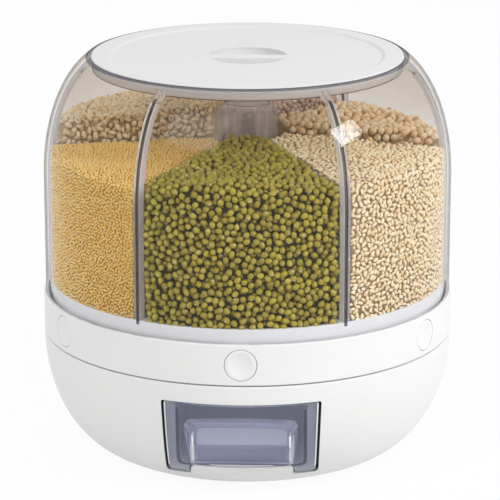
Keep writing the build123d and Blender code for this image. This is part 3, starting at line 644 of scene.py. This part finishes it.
def see_through(name, colouring, ior, milk, milk_colour, roughness=0.0, pane=None, sheet=None, patches=()):
    """Polished plastic that light passes, with cloudy places, plain panes and patches of painted shade and
    light.
    """
    made, shader = material(name)
    glass = shader.principled({
        "Base Color": colouring(shader), "Roughness": roughness, "IOR": ior, "Transmission Weight": 1.0
    })
    if pane:
        mirror = shader.node("ShaderNodeBsdfGlossy", {"Roughness": roughness})
        sheen = SHEEN + SHEEN_GRAZING * shader.math("POWER", shader.facing(), SHEEN_POWER)
        glass = shader.blend(pane(shader), glass, shader.blend(sheen, sheet(shader), mirror))
    cloudy = [shader.plain(kind, milk_colour) for kind in ("Translucent", "Diffuse")]
    glass = shader.blend(milk(shader), glass, shader.blend(0.5, *cloudy))
    # Each patch is painted shade or light: a diffuse colour laid over a mask.
    for mask, colour in patches:
        glass = shader.blend(mask(shader), glass, shader.plain("Diffuse", colour))
    passing = shader.plain("Transparent", PASSING_TINT)
    close(shader, shader.blend(shader.path(LIT_RAYS), glass, passing))
    return made


def rubbery(name, colour):
    """Dull rubber with a fine grain."""
    made, shader = material(name)
    grain = shader.noise(RUBBER_GRAIN)
    surface = shader.principled({
        "Base Color": shader.mix(grain, rgba(colour, 0.8), rgba(colour, 1.2)),
        "Roughness": 0.6 + 0.2 * grain,
        "Normal": shader.bump(grain, 0.2, 0.0001),
    })
    close(shader, surface)
    return made


def metallic(name, colour):
    """Bright steel with fine drawn scratches."""
    made, shader = material(name)
    scratches = shader.noise(SCRATCHES, 1.0)
    surface = shader.principled({
        "Base Color": shader.mix(scratches, rgba(colour, 0.9), rgba(colour)),
        "Metallic": 1.0,
        "Roughness": 0.2 + 0.15 * scratches,
    })
    close(shader, surface)
    return made


def dress(slot, made, only=None):
    """Gives a material to the CAD nodes of a slot."""
    for row in frame["record"]["subparts"]:
        if row["material_slot"] == slot and (only is None or row["node"] in only):
            materials = frame["nodes"][row["node"]].data.materials
            materials.clear()
            materials.append(made)


def grain_skin(name, settings):
    """Skin of one food: a colour for each grain, an eye or crease and fine mottling."""
    made, shader = material(name)
    each = shader.node("ShaderNodeNewGeometry", out="Random Per Island")
    mottle = shader.noise(MOTTLE, 3.0)
    eye = shader.node("ShaderNodeAttribute", out="Fac", attribute_name="eye")
    body = shader.mix(0.75 * each + 0.35 * mottle - 0.05, rgba(settings.dark), rgba(settings.pale))
    surface = shader.principled({
        "Base Color": shader.mix(eye * 0.8, body, rgba(settings.mark)),
        "Roughness": settings.gloss - 0.06 + 0.12 * mottle,
        "Normal": shader.bump(mottle, 0.15, 0.0002),
    })
    close(shader, surface)
    return made


def shade_skin(name, settings):
    """Skin of a heap's hidden heart, which shows only in the gaps between grains: painted darker than the
    grains, as the shade there.
    """
    made, shader = material(name)
    low, high = rgba(settings.dark, 0.7 * settings.gap), rgba(settings.dark, settings.gap)
    mottled = shader.mix(shader.noise(SHADE_MOTTLE), low, high)
    close(shader, shader.principled({"Base Color": mottled, "Roughness": 0.9}))
    return made


def ball(divisions):
    """Points and triangles of a unit ball."""
    mesh = bmesh.new()
    bmesh.ops.create_icosphere(mesh, subdivisions=divisions, radius=1.0)
    mesh.verts.ensure_lookup_table()
    points = np.array([vertex.co[:] for vertex in mesh.verts])
    corners = np.array([[vertex.index for vertex in face.verts] for face in mesh.faces])
    mesh.free()
    return points, corners


def bean_form():
    """Barrel-shaped bean with an eye on one flank."""
    points, corners = ball(2)
    points[:, 1:] *= (1.0 - 0.12 * points[:, :1] ** 4)
    eye = np.zeros(len(points))
    eye[np.argmax(points[:, 1])] = 1.0
    points[:, 1] = np.minimum(points[:, 1], 0.94)
    return points, corners, eye


def millet_form():
    """Small round grain."""
    points, corners = ball(1)
    eye = np.zeros(len(points))
    eye[np.argmax(points[:, 0])] = 1.0
    return points, corners, eye


def rice_form():
    """Slim grain that narrows to its ends, with a pale germ at one of them."""
    points, corners = ball(2)
    points[:, 1:] *= (1.0 - 0.18 * points[:, :1])
    eye = (points[:, 0] < -0.8).astype(float)
    return points, corners, eye


def pea_form():
    """Round pea with a beak and a furrow."""
    points, corners = ball(2)
    beak = points[:, 0] > 0.8
    points[:, 1:] *= np.where(points[:, :1] > 0.4, 0.86, 1.0)
    points[beak, 0] *= 1.12
    points[:, 0] /= 1.12
    return points, corners, beak.astype(float)


def kernel_form():
    """Plump kernel with a crease along one side."""
    points, corners = ball(2)
    crease = (np.abs(points[:, 1]) < 0.2) & (points[:, 2] > 0.5)
    points[crease, 2] *= 0.8
    return points, corners, crease.astype(float)


def sector_angle(number):
    """Direction in which a compartment and its button lie."""
    return FRONT_ANGLE + (number - 1) * 2 * HALF_SECTOR


class Heap:
    """The food in one compartment: where its surfaces run and where its grains lie."""

    def __init__(self, name, number, settings, form, spacing, flatness):
        self.name = name
        self.settings = settings
        self.form = form
        self.flatness = flatness
        self.random = np.random.default_rng(settings.seed)
        self.angle = sector_angle(number)
        self.half = np.array([settings.long, settings.wide, settings.thick]) / 2
        girth = math.sqrt(settings.wide * settings.thick)
        self.beads = np.array([0.0])
        self.spacing = spacing * (settings.long * girth**2) ** (1 / 3)
        if settings.long > SLIM * girth:
            self.beads = np.array([-0.5, 0.5]) * (settings.long - girth)
            self.spacing = spacing * girth
        self.waves = self.random.uniform(0, 2 * math.pi, 6)
        self.cells = {}

    def level(self, along, across):
        """Height of the heap at places along and across the compartment."""
        settings = self.settings
        steep = np.clip(along / BIN_INSIDE, 0, 1)
        height = settings.hub_level + (settings.wall_level - settings.hub_level) * steep
        height = height - settings.sag * (across / SAG_HALF) ** 2
        ripple = 0.0
        for (long, wide), first, second in zip(RIPPLE_WAVES, self.waves[::2], self.waves[1::2]):
            ripple = ripple + np.sin(along / long + first) * np.sin(across / wide + second)
        return height + ripple * RIPPLE

    def inside_radius(self, height):
        """Radius of the bin's inner face at a height, and how its outward normal leans."""
        rise = np.clip((height - SHOULDER_Z) / SHOULDER_RISE, 0, SHOULDER_LIMIT)
        radius = SHOULDER_CENTRE + SHOULDER_REACH * np.sqrt(1 - rise**2)
        lean = np.where(rise > 0, rise / SHOULDER_RISE, 0)
        outward = np.sqrt(1 - rise**2) / SHOULDER_REACH
        size = np.hypot(lean, outward)
        return radius, outward / size, lean / size

    def turns(self, normals):
        """A random turn for each grain, lying along its surface as far as the food is flat."""
        count = len(normals)
        helper = np.where(np.abs(normals[:, 2:]) < 0.9, [[0.0, 0.0, 1.0]], [[1.0, 0.0, 0.0]])
        first = np.cross(helper, normals)
        first /= np.linalg.norm(first, axis=1, keepdims=True)
        second = np.cross(normals, first)
        heading = self.random.uniform(0, 2 * math.pi, (count, 1))
        limit = math.radians(90) * (1 - self.flatness) + STRAY_TILT
        tilt = self.random.normal(0, limit / 2, (count, 1))
        axis = np.cos(tilt) * (np.cos(heading) * first + np.sin(heading) * second) + np.sin(tilt) * normals
        side = np.cross(axis, normals + 0.05 * first)
        side /= np.linalg.norm(side, axis=1, keepdims=True)
        up = np.cross(axis, side)
        roll = self.random.uniform(0, 2 * math.pi, (count, 1))
        rolled = np.cos(roll) * side + np.sin(roll) * up
        return np.stack([axis, rolled, np.cross(axis, rolled)], axis=2)

    def reach(self, turns, normals):
        """How far each grain reaches along a direction."""
        return np.linalg.norm(np.einsum("nij,ni->nj", turns, normals) * self.half, axis=1)

    def wall_places(self, count):
        """Random places against the bin's wall, as points and outward normals."""
        margin = GUIDE_CLEAR + self.half[0]
        widest = HALF_SECTOR - math.asin(margin / (BIN_INSIDE - GUIDE_DEPTH))
        angle = self.random.uniform(-widest, widest, count)
        height = self.random.uniform(HOPPER_TOP, self.settings.hub_level, count)
        radius, outward, lean = self.inside_radius(height)
        along = radius * np.cos(angle)
        across = radius * np.sin(angle)
        keep = height < self.level(along, across) - self.half[1]
        points = np.stack([along, across, height], axis=1)
        normals = np.stack([outward * np.cos(angle), outward * np.sin(angle), lean], axis=1)
        return points[keep], normals[keep]

    def divider_places(self, count):
        """Random places against the two dividers."""
        side = self.random.choice([-1.0, 1.0], count)
        depth = self.random.uniform(HUB_CLEAR + self.half[0], BIN_INSIDE, count)
        height = self.random.uniform(HOPPER_TOP, self.settings.hub_level, count)
        radius, _, _ = self.inside_radius(height)
        along = depth * math.cos(HALF_SECTOR)
        across = side * depth * math.sin(HALF_SECTOR)
        inward = np.full(count, -math.sin(HALF_SECTOR))
        normals = np.stack([inward, side * math.cos(HALF_SECTOR), np.zeros(count)], axis=1)
        points = np.stack([along, across, height], axis=1) - normals * PANEL_CLEAR
        top = self.level(along, across) - self.half[1]
        shown = (depth > BIN_INSIDE - SHOWN_DEPTH) | (height > top - SHOWN_DROP)
        keep = (height < top) & (depth < radius - GUIDE_DEPTH - self.half[0]) & shown
        return points[keep], normals[keep]

    def top_places(self, count):
        """Random places on the heap's open top."""
        near = HUB_CLEAR + self.half[0]
        radius = np.sqrt(self.random.uniform(near**2, BIN_INSIDE**2, count))
        angle = self.random.uniform(-HALF_SECTOR, HALF_SECTOR, count)
        along = radius * np.cos(angle)
        across = radius * np.sin(angle)
        height = self.level(along, across)
        limit, _, _ = self.inside_radius(height)
        beside = along * math.sin(HALF_SECTOR) - np.abs(across) * math.cos(HALF_SECTOR)
        by_guides = radius > limit - GUIDE_DEPTH - self.half[0]
        margin = np.where(by_guides, GUIDE_CLEAR, PANEL_CLEAR) + self.half[0]
        keep = (beside > margin) & (radius < limit - WALL_CLEAR - self.half[0])
        points = np.stack([along, across, height], axis=1)
        normals = np.tile([0.0, 0.0, 1.0], (count, 1))
        return points[keep], normals[keep]

    def settle(self, points, normals, depth):
        """Places and turns of the grains that find room at a depth under a surface."""
        turns = self.turns(normals)
        centres = points - normals * (self.reach(turns, normals) + WALL_CLEAR + depth)[:, None]
        beads = centres[:, None, :] + self.beads[None, :, None] * turns[:, None, :, 0]
        kept = []
        for index, string in enumerate(beads.tolist()):
            if all(self.free(bead) for bead in string):
                for bead in string:
                    self.cells.setdefault(self.cell(bead), []).append(bead)
                kept.append(index)
        return centres[kept], turns[kept]

    def cell(self, bead):
        """Which cell of a grid as wide as the spacing a point lies in."""
        return tuple(int(part // self.spacing) for part in bead)

    def free(self, bead):
        """True where no grain lies nearer than the spacing."""
        x, y, z = bead
        i, j, k = self.cell(bead)
        limit = self.spacing**2
        for near in product((i - 1, i, i + 1), (j - 1, j, j + 1), (k - 1, k, k + 1)):
            for u, v, w in self.cells.get(near, ()):
                if (x - u) ** 2 + (y - v) ** 2 + (z - w) ** 2 < limit:
                    return False
        return True

    def grains(self, places, area):
        """Centres and turns of the grains in the layers under one of the surfaces."""
        tries = int(TRIES * area / self.spacing**2)
        depths = [layer * LAYER_DEPTH * self.spacing for layer in range(LAYERS)]
        settled = [self.settle(*places(tries), depth) for depth in depths]
        return [np.concatenate(rows) for rows in zip(*settled)]

    def to_bin(self, points):
        """Turns points from the compartment's own axes into the bin's."""
        turn = np.array([
            [math.cos(self.angle), -math.sin(self.angle), 0.0],
            [math.sin(self.angle), math.cos(self.angle), 0.0],
            [0.0, 0.0, 1.0],
        ])
        return points @ turn.T

    def add_grains(self, part, centres, turns, skin):
        """Makes one mesh of many grains."""
        points, corners, eye = self.form
        count = len(centres)
        sizes = self.random.normal(1.0, SIZE_SPREAD, (count, 1, 1)).clip(SMALLEST, 1.0)
        shaped = np.einsum("nij,pj->npi", turns, points * self.half) * sizes + centres[:, None, :]
        triangles = corners[None] + (np.arange(count) * len(points))[:, None, None]
        places = self.to_bin(shaped.reshape(-1, 3))
        grown = add_food(f"{self.name}_{part}", places, triangles.reshape(-1, 3), skin)
        grown.data.attributes.new("eye", "FLOAT", "POINT").data.foreach_set("value", np.tile(eye, count))

    def add_core(self, skin):
        """Closed block that fills the heap under its grains."""
        inset = HEART_INSET * self.spacing
        rings, rays = HEART_RINGS, HEART_RAYS
        near = HUB_CLEAR + inset
        clear = GUIDE_CLEAR + inset
        top = []
        for ring in range(rings):
            radius = near + (BIN_INSIDE - inset - near) * ring / (rings - 1)
            widest = HALF_SECTOR - math.asin(min(HEART_NARROWEST, clear / radius))
            for ray in range(rays):
                angle = widest * (2 * ray / (rays - 1) - 1)
                top.append((radius * math.cos(angle), radius * math.sin(angle)))
        top = np.array(top)
        height = self.level(top[:, 0], top[:, 1]) - inset
        limit, _, _ = self.inside_radius(height)
        shrink = np.minimum(1.0, (limit - inset) / np.hypot(top[:, 0], top[:, 1]))
        upper = np.column_stack([top * shrink[:, None], height])
        count = len(top)
        lower = np.column_stack([top, np.full(count, HOPPER_TOP + 0.5 * MM)])
        faces = []
        for ring in range(rings - 1):
            for ray in range(rays - 1):
                a = ring * rays + ray
                quad = (a, a + rays, a + rays + 1, a + 1)
                faces.append(quad)
                faces.append(tuple(count + corner for corner in reversed(quad)))
        grid = np.arange(count).reshape(rings, rays)
        edge = [*grid[:, 0], *grid[-1, 1:], *grid[-2::-1, -1], *grid[0, -2:0:-1]]
        for here, there in zip(edge, edge[1:] + edge[:1]):
            faces.append((here, count + here, count + there, there))
        add_food(f"{self.name}_heart", self.to_bin(np.concatenate([upper, lower])), faces, skin)


def add_object(name, points, faces, skin, smooth=False):
    """Object from points and faces."""
    mesh = bpy.data.meshes.new(name)
    mesh.from_pydata(points, [], faces)
    mesh.polygons.foreach_set("use_smooth", np.full(len(mesh.polygons), smooth))
    mesh.materials.append(skin)
    mesh.update()
    made = bpy.data.objects.new(name, mesh)
    bpy.context.scene.collection.objects.link(made)
    return made


def add_food(name, points, faces, skin):
    """Smooth piece of food, riding on the bin."""
    made = add_object(name, points.tolist(), np.asarray(faces).tolist(), skin, smooth=True)
    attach(made, "bin")
    return made


def fill(name, number, form, spacing, flatness):
    """Fills a compartment: grains at the wall, on top and at the dividers, around a hidden heart."""
    settings = getattr(bpy.context.scene.dispenser, name)
    heap = Heap(name, number, settings, form, spacing, flatness)
    skin = grain_skin(f"{name}_skin", settings)
    deep = settings.hub_level - HOPPER_TOP
    surfaces = (
        ("at_wall", heap.wall_places, 2 * HALF_SECTOR * BIN_INSIDE * deep),
        ("on_top", heap.top_places, HALF_SECTOR * BIN_INSIDE**2),
        ("at_dividers", heap.divider_places, 2 * BIN_INSIDE * deep),
    )
    parts = [(part, *heap.grains(places, area)) for part, places, area in surfaces]
    for part, centres, turns in parts:
        heap.add_grains(part, centres, turns, skin)
    heap.add_core(shade_skin(f"{name}_shade", settings))


class WhiteMouldings(bpy.types.Operator):
    """Finish the base, turntable ring, buttons and lid in satin white, the lid's white darkened as painted
    shade
    """

    bl_idname = "dispenser.white_mouldings"
    bl_label = "White mouldings"

    def execute(self, context):
        finish = context.scene.dispenser.finish
        dress("white_shell", moulded("white_moulding", finish.white, finish.satin))
        # The lid's darker white is painted shade for its well-lit top.
        thin = moulded("lid_moulding", finish.lid_shaded_white, finish.satin + LID_ROUGHER, finish.lid_passing)
        dress("white_shell", thin, ("lid", "lid_grip"))
        return {"FINISHED"}


class InnerMouldings(bpy.types.Operator):
    """Finish the hopper floor, gates, turntable plate, deck and drawer bay, the bay painted dark grey as
    shade
    """

    bl_idname = "dispenser.inner_mouldings"
    bl_label = "Inner mouldings"

    def execute(self, context):
        finish = context.scene.dispenser.finish
        dull = finish.satin + INNER_ROUGHER
        dress("white_inner", moulded("inner_moulding", finish.inner_white, dull))
        # The bay's dark grey and its nearly black sides beside the drawer are painted shade.
        bay = moulded("bay_moulding", finish.bay_painted_shade, dull, shadow=bay_gap_painted_shade)
        dress("white_inner", bay, ("drawer_sleeve",))
        return {"FINISHED"}


class ClearBin(bpy.types.Operator):
    """Finish the bin, its dividers and their hub in clear plastic, with shade and light painted on them"""

    bl_idname = "dispenser.clear_bin"
    bl_label = "Clear bin"

    def execute(self, context):
        finish = context.scene.dispenser.finish
        ior = finish.clear_ior
        tinted = partial(streaky, colour=finish.divider)
        panel_sheet = partial(Shader.plain, kind="Transparent", colour=finish.pane)
        panel = see_through(
            "divider_plastic", tinted, ior, painted_panel_shade, finish.edge, pane=panel_pane, sheet=panel_sheet
        )
        dress("clear_plastic", panel)
        hub = see_through("hub_plastic", tinted, ior, hub_milk, finish.milk)
        dress("clear_plastic", hub, ("divider_hub",))
        wall = see_through(
            "bin_plastic",
            partial(dome_shaded_tint, low=finish.clear, high=finish.dome),
            ior,
            bin_milk_and_painted_light,
            finish.milk,
            pane=wall_pane,
            sheet=partial(domed_pane, low=finish.clear, high=finish.dome_pane_painted_shade),
            patches=((painted_bin_shade, finish.edge),),
        )
        dress("clear_plastic", wall, ("bin_body",))
        return {"FINISHED"}


def dome_inside(height):
    """Radius of the dome's inner face at a height."""
    rise = (height - SHOULDER_Z) / SHOULDER_RISE
    return SHOULDER_CENTRE + SHOULDER_REACH * math.sqrt(1 - rise**2)


def rib_top_outline():
    """Radius and height along a rib's top: up the dome, down the neck and in to the foot."""
    rise = (NECK_JOINS - GUIDE_TOP) / (GUIDE_STEPS - 1)
    heights = [GUIDE_TOP + rise * step for step in range(GUIDE_STEPS)]
    outline = [(dome_inside(height) - RIB_GAP, height) for height in heights]
    foot = (outline[0][0] - GUIDE_FOOT, GUIDE_TOP)
    return [*outline, (NECK_OUTSIDE, NECK_JOINS), (NECK_OUTSIDE, NECK_LOW), foot]


class RibTops(bpy.types.Operator):
    """Carry the bin's pairs of ribs on from the dividers' tops up to the neck"""

    bl_idname = "dispenser.rib_tops"
    bl_label = "Rib tops"

    def execute(self, context):
        plastic = bpy.data.materials["bin_plastic"]
        outline = rib_top_outline()
        count = len(outline)
        for number in range(COMPARTMENTS):
            angle = FRONT_ANGLE + (2 * number + 1) * HALF_SECTOR
            points, faces = [], []
            for side in (-GUIDE_ASIDE, GUIDE_ASIDE):
                first = len(points)
                for across in (side - GUIDE_HALF, side + GUIDE_HALF):
                    for radius, height in outline:
                        x = radius * math.cos(angle) - across * math.sin(angle)
                        y = radius * math.sin(angle) + across * math.cos(angle)
                        points.append((x, y, height))
                faces.append(tuple(range(first, first + count)))
                faces.append(tuple(range(first + 2 * count - 1, first + count - 1, -1)))
                for here in range(count):
                    there = (here + 1) % count
                    faces.append((first + here, first + count + here, first + count + there, first + there))
            made = add_object(f"rib_tops_{number + 1}", points, faces, plastic)
            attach(made, "bin")
        return {"FINISHED"}


class CatchDrawer(bpy.types.Operator):
    """Finish the catch drawer in smoky translucent plastic, with shade, light and highlights painted on it
    """

    bl_idname = "dispenser.catch_drawer"
    bl_label = "Catch drawer"

    def execute(self, context):
        finish = context.scene.dispenser.finish
        made = see_through(
            "smoke_plastic",
            partial(streaky, colour=finish.smoke),
            finish.clear_ior,
            partial(drawer_haze_and_painted_light, haze=finish.smoke_cloud),
            finish.smoke_body_and_painted_light,
            roughness=finish.smoke_roughness,
            patches=(
                (painted_pocket_light, finish.smoke_painted_light),
                (painted_drawer_glints, finish.smoke_painted_glint),
                (painted_drawer_shade, finish.smoke_painted_shade),
            ),
        )
        dress("smoke_plastic", made)
        return {"FINISHED"}


class RubberPieces(bpy.types.Operator):
    """Finish the feet and the lid's seal in rubber"""

    bl_idname = "dispenser.rubber_pieces"
    bl_label = "Feet and seal"

    def execute(self, context):
        finish = context.scene.dispenser.finish
        dress("foot_rubber", rubbery("foot_rubber", finish.rubber))
        dress("seal_rubber", rubbery("seal_rubber", finish.seal))
        return {"FINISHED"}


class SteelPieces(bpy.types.Operator):
    """Finish the screws, springs, balls and spindle in steel"""

    bl_idname = "dispenser.steel_pieces"
    bl_label = "Steel pieces"

    def execute(self, context):
        dress("steel", metallic("bright_steel", context.scene.dispenser.finish.steel))
        return {"FINISHED"}


class ClosingSprings(bpy.types.Operator):
    """Put a copy of each gate's spring on the bin, in place of the frame's own"""

    bl_idname = "dispenser.closing_springs"
    bl_label = "Closing springs"

    def execute(self, context):
        for number in range(1, COMPARTMENTS + 1):
            node = f"gate_spring_{number}"
            coil = bpy.data.objects.new(f"closing_spring_{number}", frame["nodes"][node].data.copy())
            context.scene.collection.objects.link(coil)
            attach(coil, "bin")
            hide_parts(node)
            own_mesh(coil)
        return {"FINISHED"}


class MungBeans(bpy.types.Operator):
    """Fill the front compartment with green beans"""

    bl_idname = "dispenser.mung_beans"
    bl_label = "Mung beans"

    def execute(self, context):
        fill("mung_beans", 1, bean_form(), spacing=0.87, flatness=0.2)
        return {"FINISHED"}


class BrownRice(bpy.types.Operator):
    """Fill the front right compartment with brown rice"""

    bl_idname = "dispenser.brown_rice"
    bl_label = "Brown rice"

    def execute(self, context):
        fill("brown_rice", 2, rice_form(), spacing=0.95, flatness=0.75)
        return {"FINISHED"}


class Chickpeas(bpy.types.Operator):
    """Fill the rear right compartment with chickpeas"""

    bl_idname = "dispenser.chickpeas"
    bl_label = "Chickpeas"

    def execute(self, context):
        fill("chickpeas", 3, pea_form(), spacing=0.9, flatness=0.2)
        return {"FINISHED"}


class Sorghum(bpy.types.Operator):
    """Fill the rear compartment with sorghum"""

    bl_idname = "dispenser.sorghum"
    bl_label = "Sorghum"

    def execute(self, context):
        fill("sorghum", 4, millet_form(), spacing=0.9, flatness=0.2)
        return {"FINISHED"}


class Wheat(bpy.types.Operator):
    """Fill the rear left compartment with wheat kernels"""

    bl_idname = "dispenser.wheat"
    bl_label = "Wheat"

    def execute(self, context):
        fill("wheat", 5, kernel_form(), spacing=0.84, flatness=0.5)
        return {"FINISHED"}


class Millet(bpy.types.Operator):
    """Fill the front left compartment with millet"""

    bl_idname = "dispenser.millet"
    bl_label = "Millet"

    def execute(self, context):
        fill("millet", 6, millet_form(), spacing=0.9, flatness=0.2)
        return {"FINISHED"}


def add_lamp(name, power, size, place, roll):
    """Rectangular lamp that faces the dispenser."""
    lamp = bpy.data.lights.new(name, "AREA")
    lamp.shape = "RECTANGLE"
    lamp.energy = power
    lamp.size, lamp.size_y = size
    made = bpy.data.objects.new(name, lamp)
    made.location = place
    facing = (Vector(AIM) - Vector(place)).to_track_quat("-Z", "Y")
    made.rotation_euler = (facing @ Quaternion((0.0, 0.0, 1.0), roll)).to_euler()
    bpy.context.scene.collection.objects.link(made)


def add_camera(scene, studio):
    """Camera in front of the dispenser, looking down at it."""
    camera = bpy.data.cameras.new("camera")
    camera.lens = studio.lens
    camera.shift_x = studio.shift
    made = bpy.data.objects.new("camera", camera)
    turn = studio.camera_turn
    made.location = (
        studio.camera_distance * math.sin(turn),
        -studio.camera_distance * math.cos(turn),
        studio.camera_height,
    )
    made.rotation_euler = (math.radians(90) - studio.camera_pitch, 0.0, turn)
    scene.collection.objects.link(made)
    scene.camera = made


def add_world(scene, ambient):
    """White backdrop, whose light is dimmer than it looks."""
    world = bpy.data.worlds.new("studio_world")
    scene.world = world
    world.use_nodes = True
    shader = Shader(world.node_tree)
    dim, white = [
        shader.node("ShaderNodeBackground", {"Color": rgba(PLAIN_WHITE), "Strength": strength})
        for strength in (ambient, 1.0)
    ]
    close(shader, shader.blend(shader.path(SHOWN_RAYS), dim, white), "World")


def add_floor():
    """Wide white floor that keeps a faint shadow."""
    made, shader = material("white_floor")
    low, high = [rgba([grey] * 3) for grey in FLOOR_GREYS]
    paper = shader.mix(shader.noise(PAPER), low, high)
    matt = shader.principled({"Base Color": paper, "Roughness": 1.0, "Specular IOR Level": 0.0})
    glow = shader.node("ShaderNodeEmission", {"Color": rgba(PLAIN_WHITE), "Strength": 1.0})
    close(shader, shader.blend(shader.path(SHOWN_RAYS) * FLOOR_GLOW, matt, glow))
    near, far = -FLOOR_REACH, FLOOR_REACH
    corners = [(near, near, 0.0), (far, near, 0.0), (far, far, 0.0), (near, far, 0.0)]
    floor = add_object("floor", corners, [(0, 1, 2, 3)], made)


class Studio(bpy.types.Operator):
    """Set up the camera, the lamps, the world and a white floor"""

    bl_idname = "dispenser.studio"
    bl_label = "Studio"

    def execute(self, context):
        scene = context.scene
        studio = scene.dispenser.studio
        scene.view_settings.view_transform = "Standard"
        scene.cycles.use_denoising = True
        scene.cycles.max_bounces = BOUNCES
        scene.cycles.transmission_bounces = BOUNCES
        scene.cycles.transparent_max_bounces = CLEAR_BOUNCES
        add_camera(scene, studio)
        for name, size, place, roll in LAMPS:
            add_lamp(name, getattr(studio, name), size, place, roll)
        add_world(scene, studio.ambient)
        add_floor()
        return {"FINISHED"}


class DispenserPanel(bpy.types.Panel):
    """Sidebar panel with the dispenser's steps"""

    bl_idname = "VIEW3D_PT_dispenser"
    bl_label = "Dispenser"
    bl_space_type = "VIEW_3D"
    bl_region_type = "UI"
    bl_category = "Dispenser"

    def draw(self, context):
        for step in STEPS:
            self.layout.operator(step.bl_idname)


STEPS = (
    WhiteMouldings, InnerMouldings, ClearBin, RibTops, CatchDrawer, RubberPieces, SteelPieces,
    ClosingSprings, MungBeans, BrownRice, Chickpeas, Sorghum, Wheat, Millet, Studio,
)
GROUPS = (
    FinishSettings, MungBeanSettings, MilletSettings, BrownRiceSettings, ChickpeaSettings, SorghumSettings,
    WheatSettings, StudioSettings, DispenserSettings,
)
CLASSES = (*GROUPS, *STEPS, DispenserPanel)


def register():
    """Adds the add-on's classes and settings to Blender."""
    for each in CLASSES:
        bpy.utils.register_class(each)
    bpy.types.Scene.dispenser = PointerProperty(type=DispenserSettings)


def unregister():
    """Takes the add-on's settings and classes out of Blender."""
    del bpy.types.Scene.dispenser
    for each in reversed(CLASSES):
        bpy.utils.unregister_class(each)


def main():
    """Builds everything around the frame."""
    register()
    for step in STEPS:
        getattr(bpy.ops.dispenser, step.bl_idname.split(".")[1])()


if __name__ == "__main__":
    main()
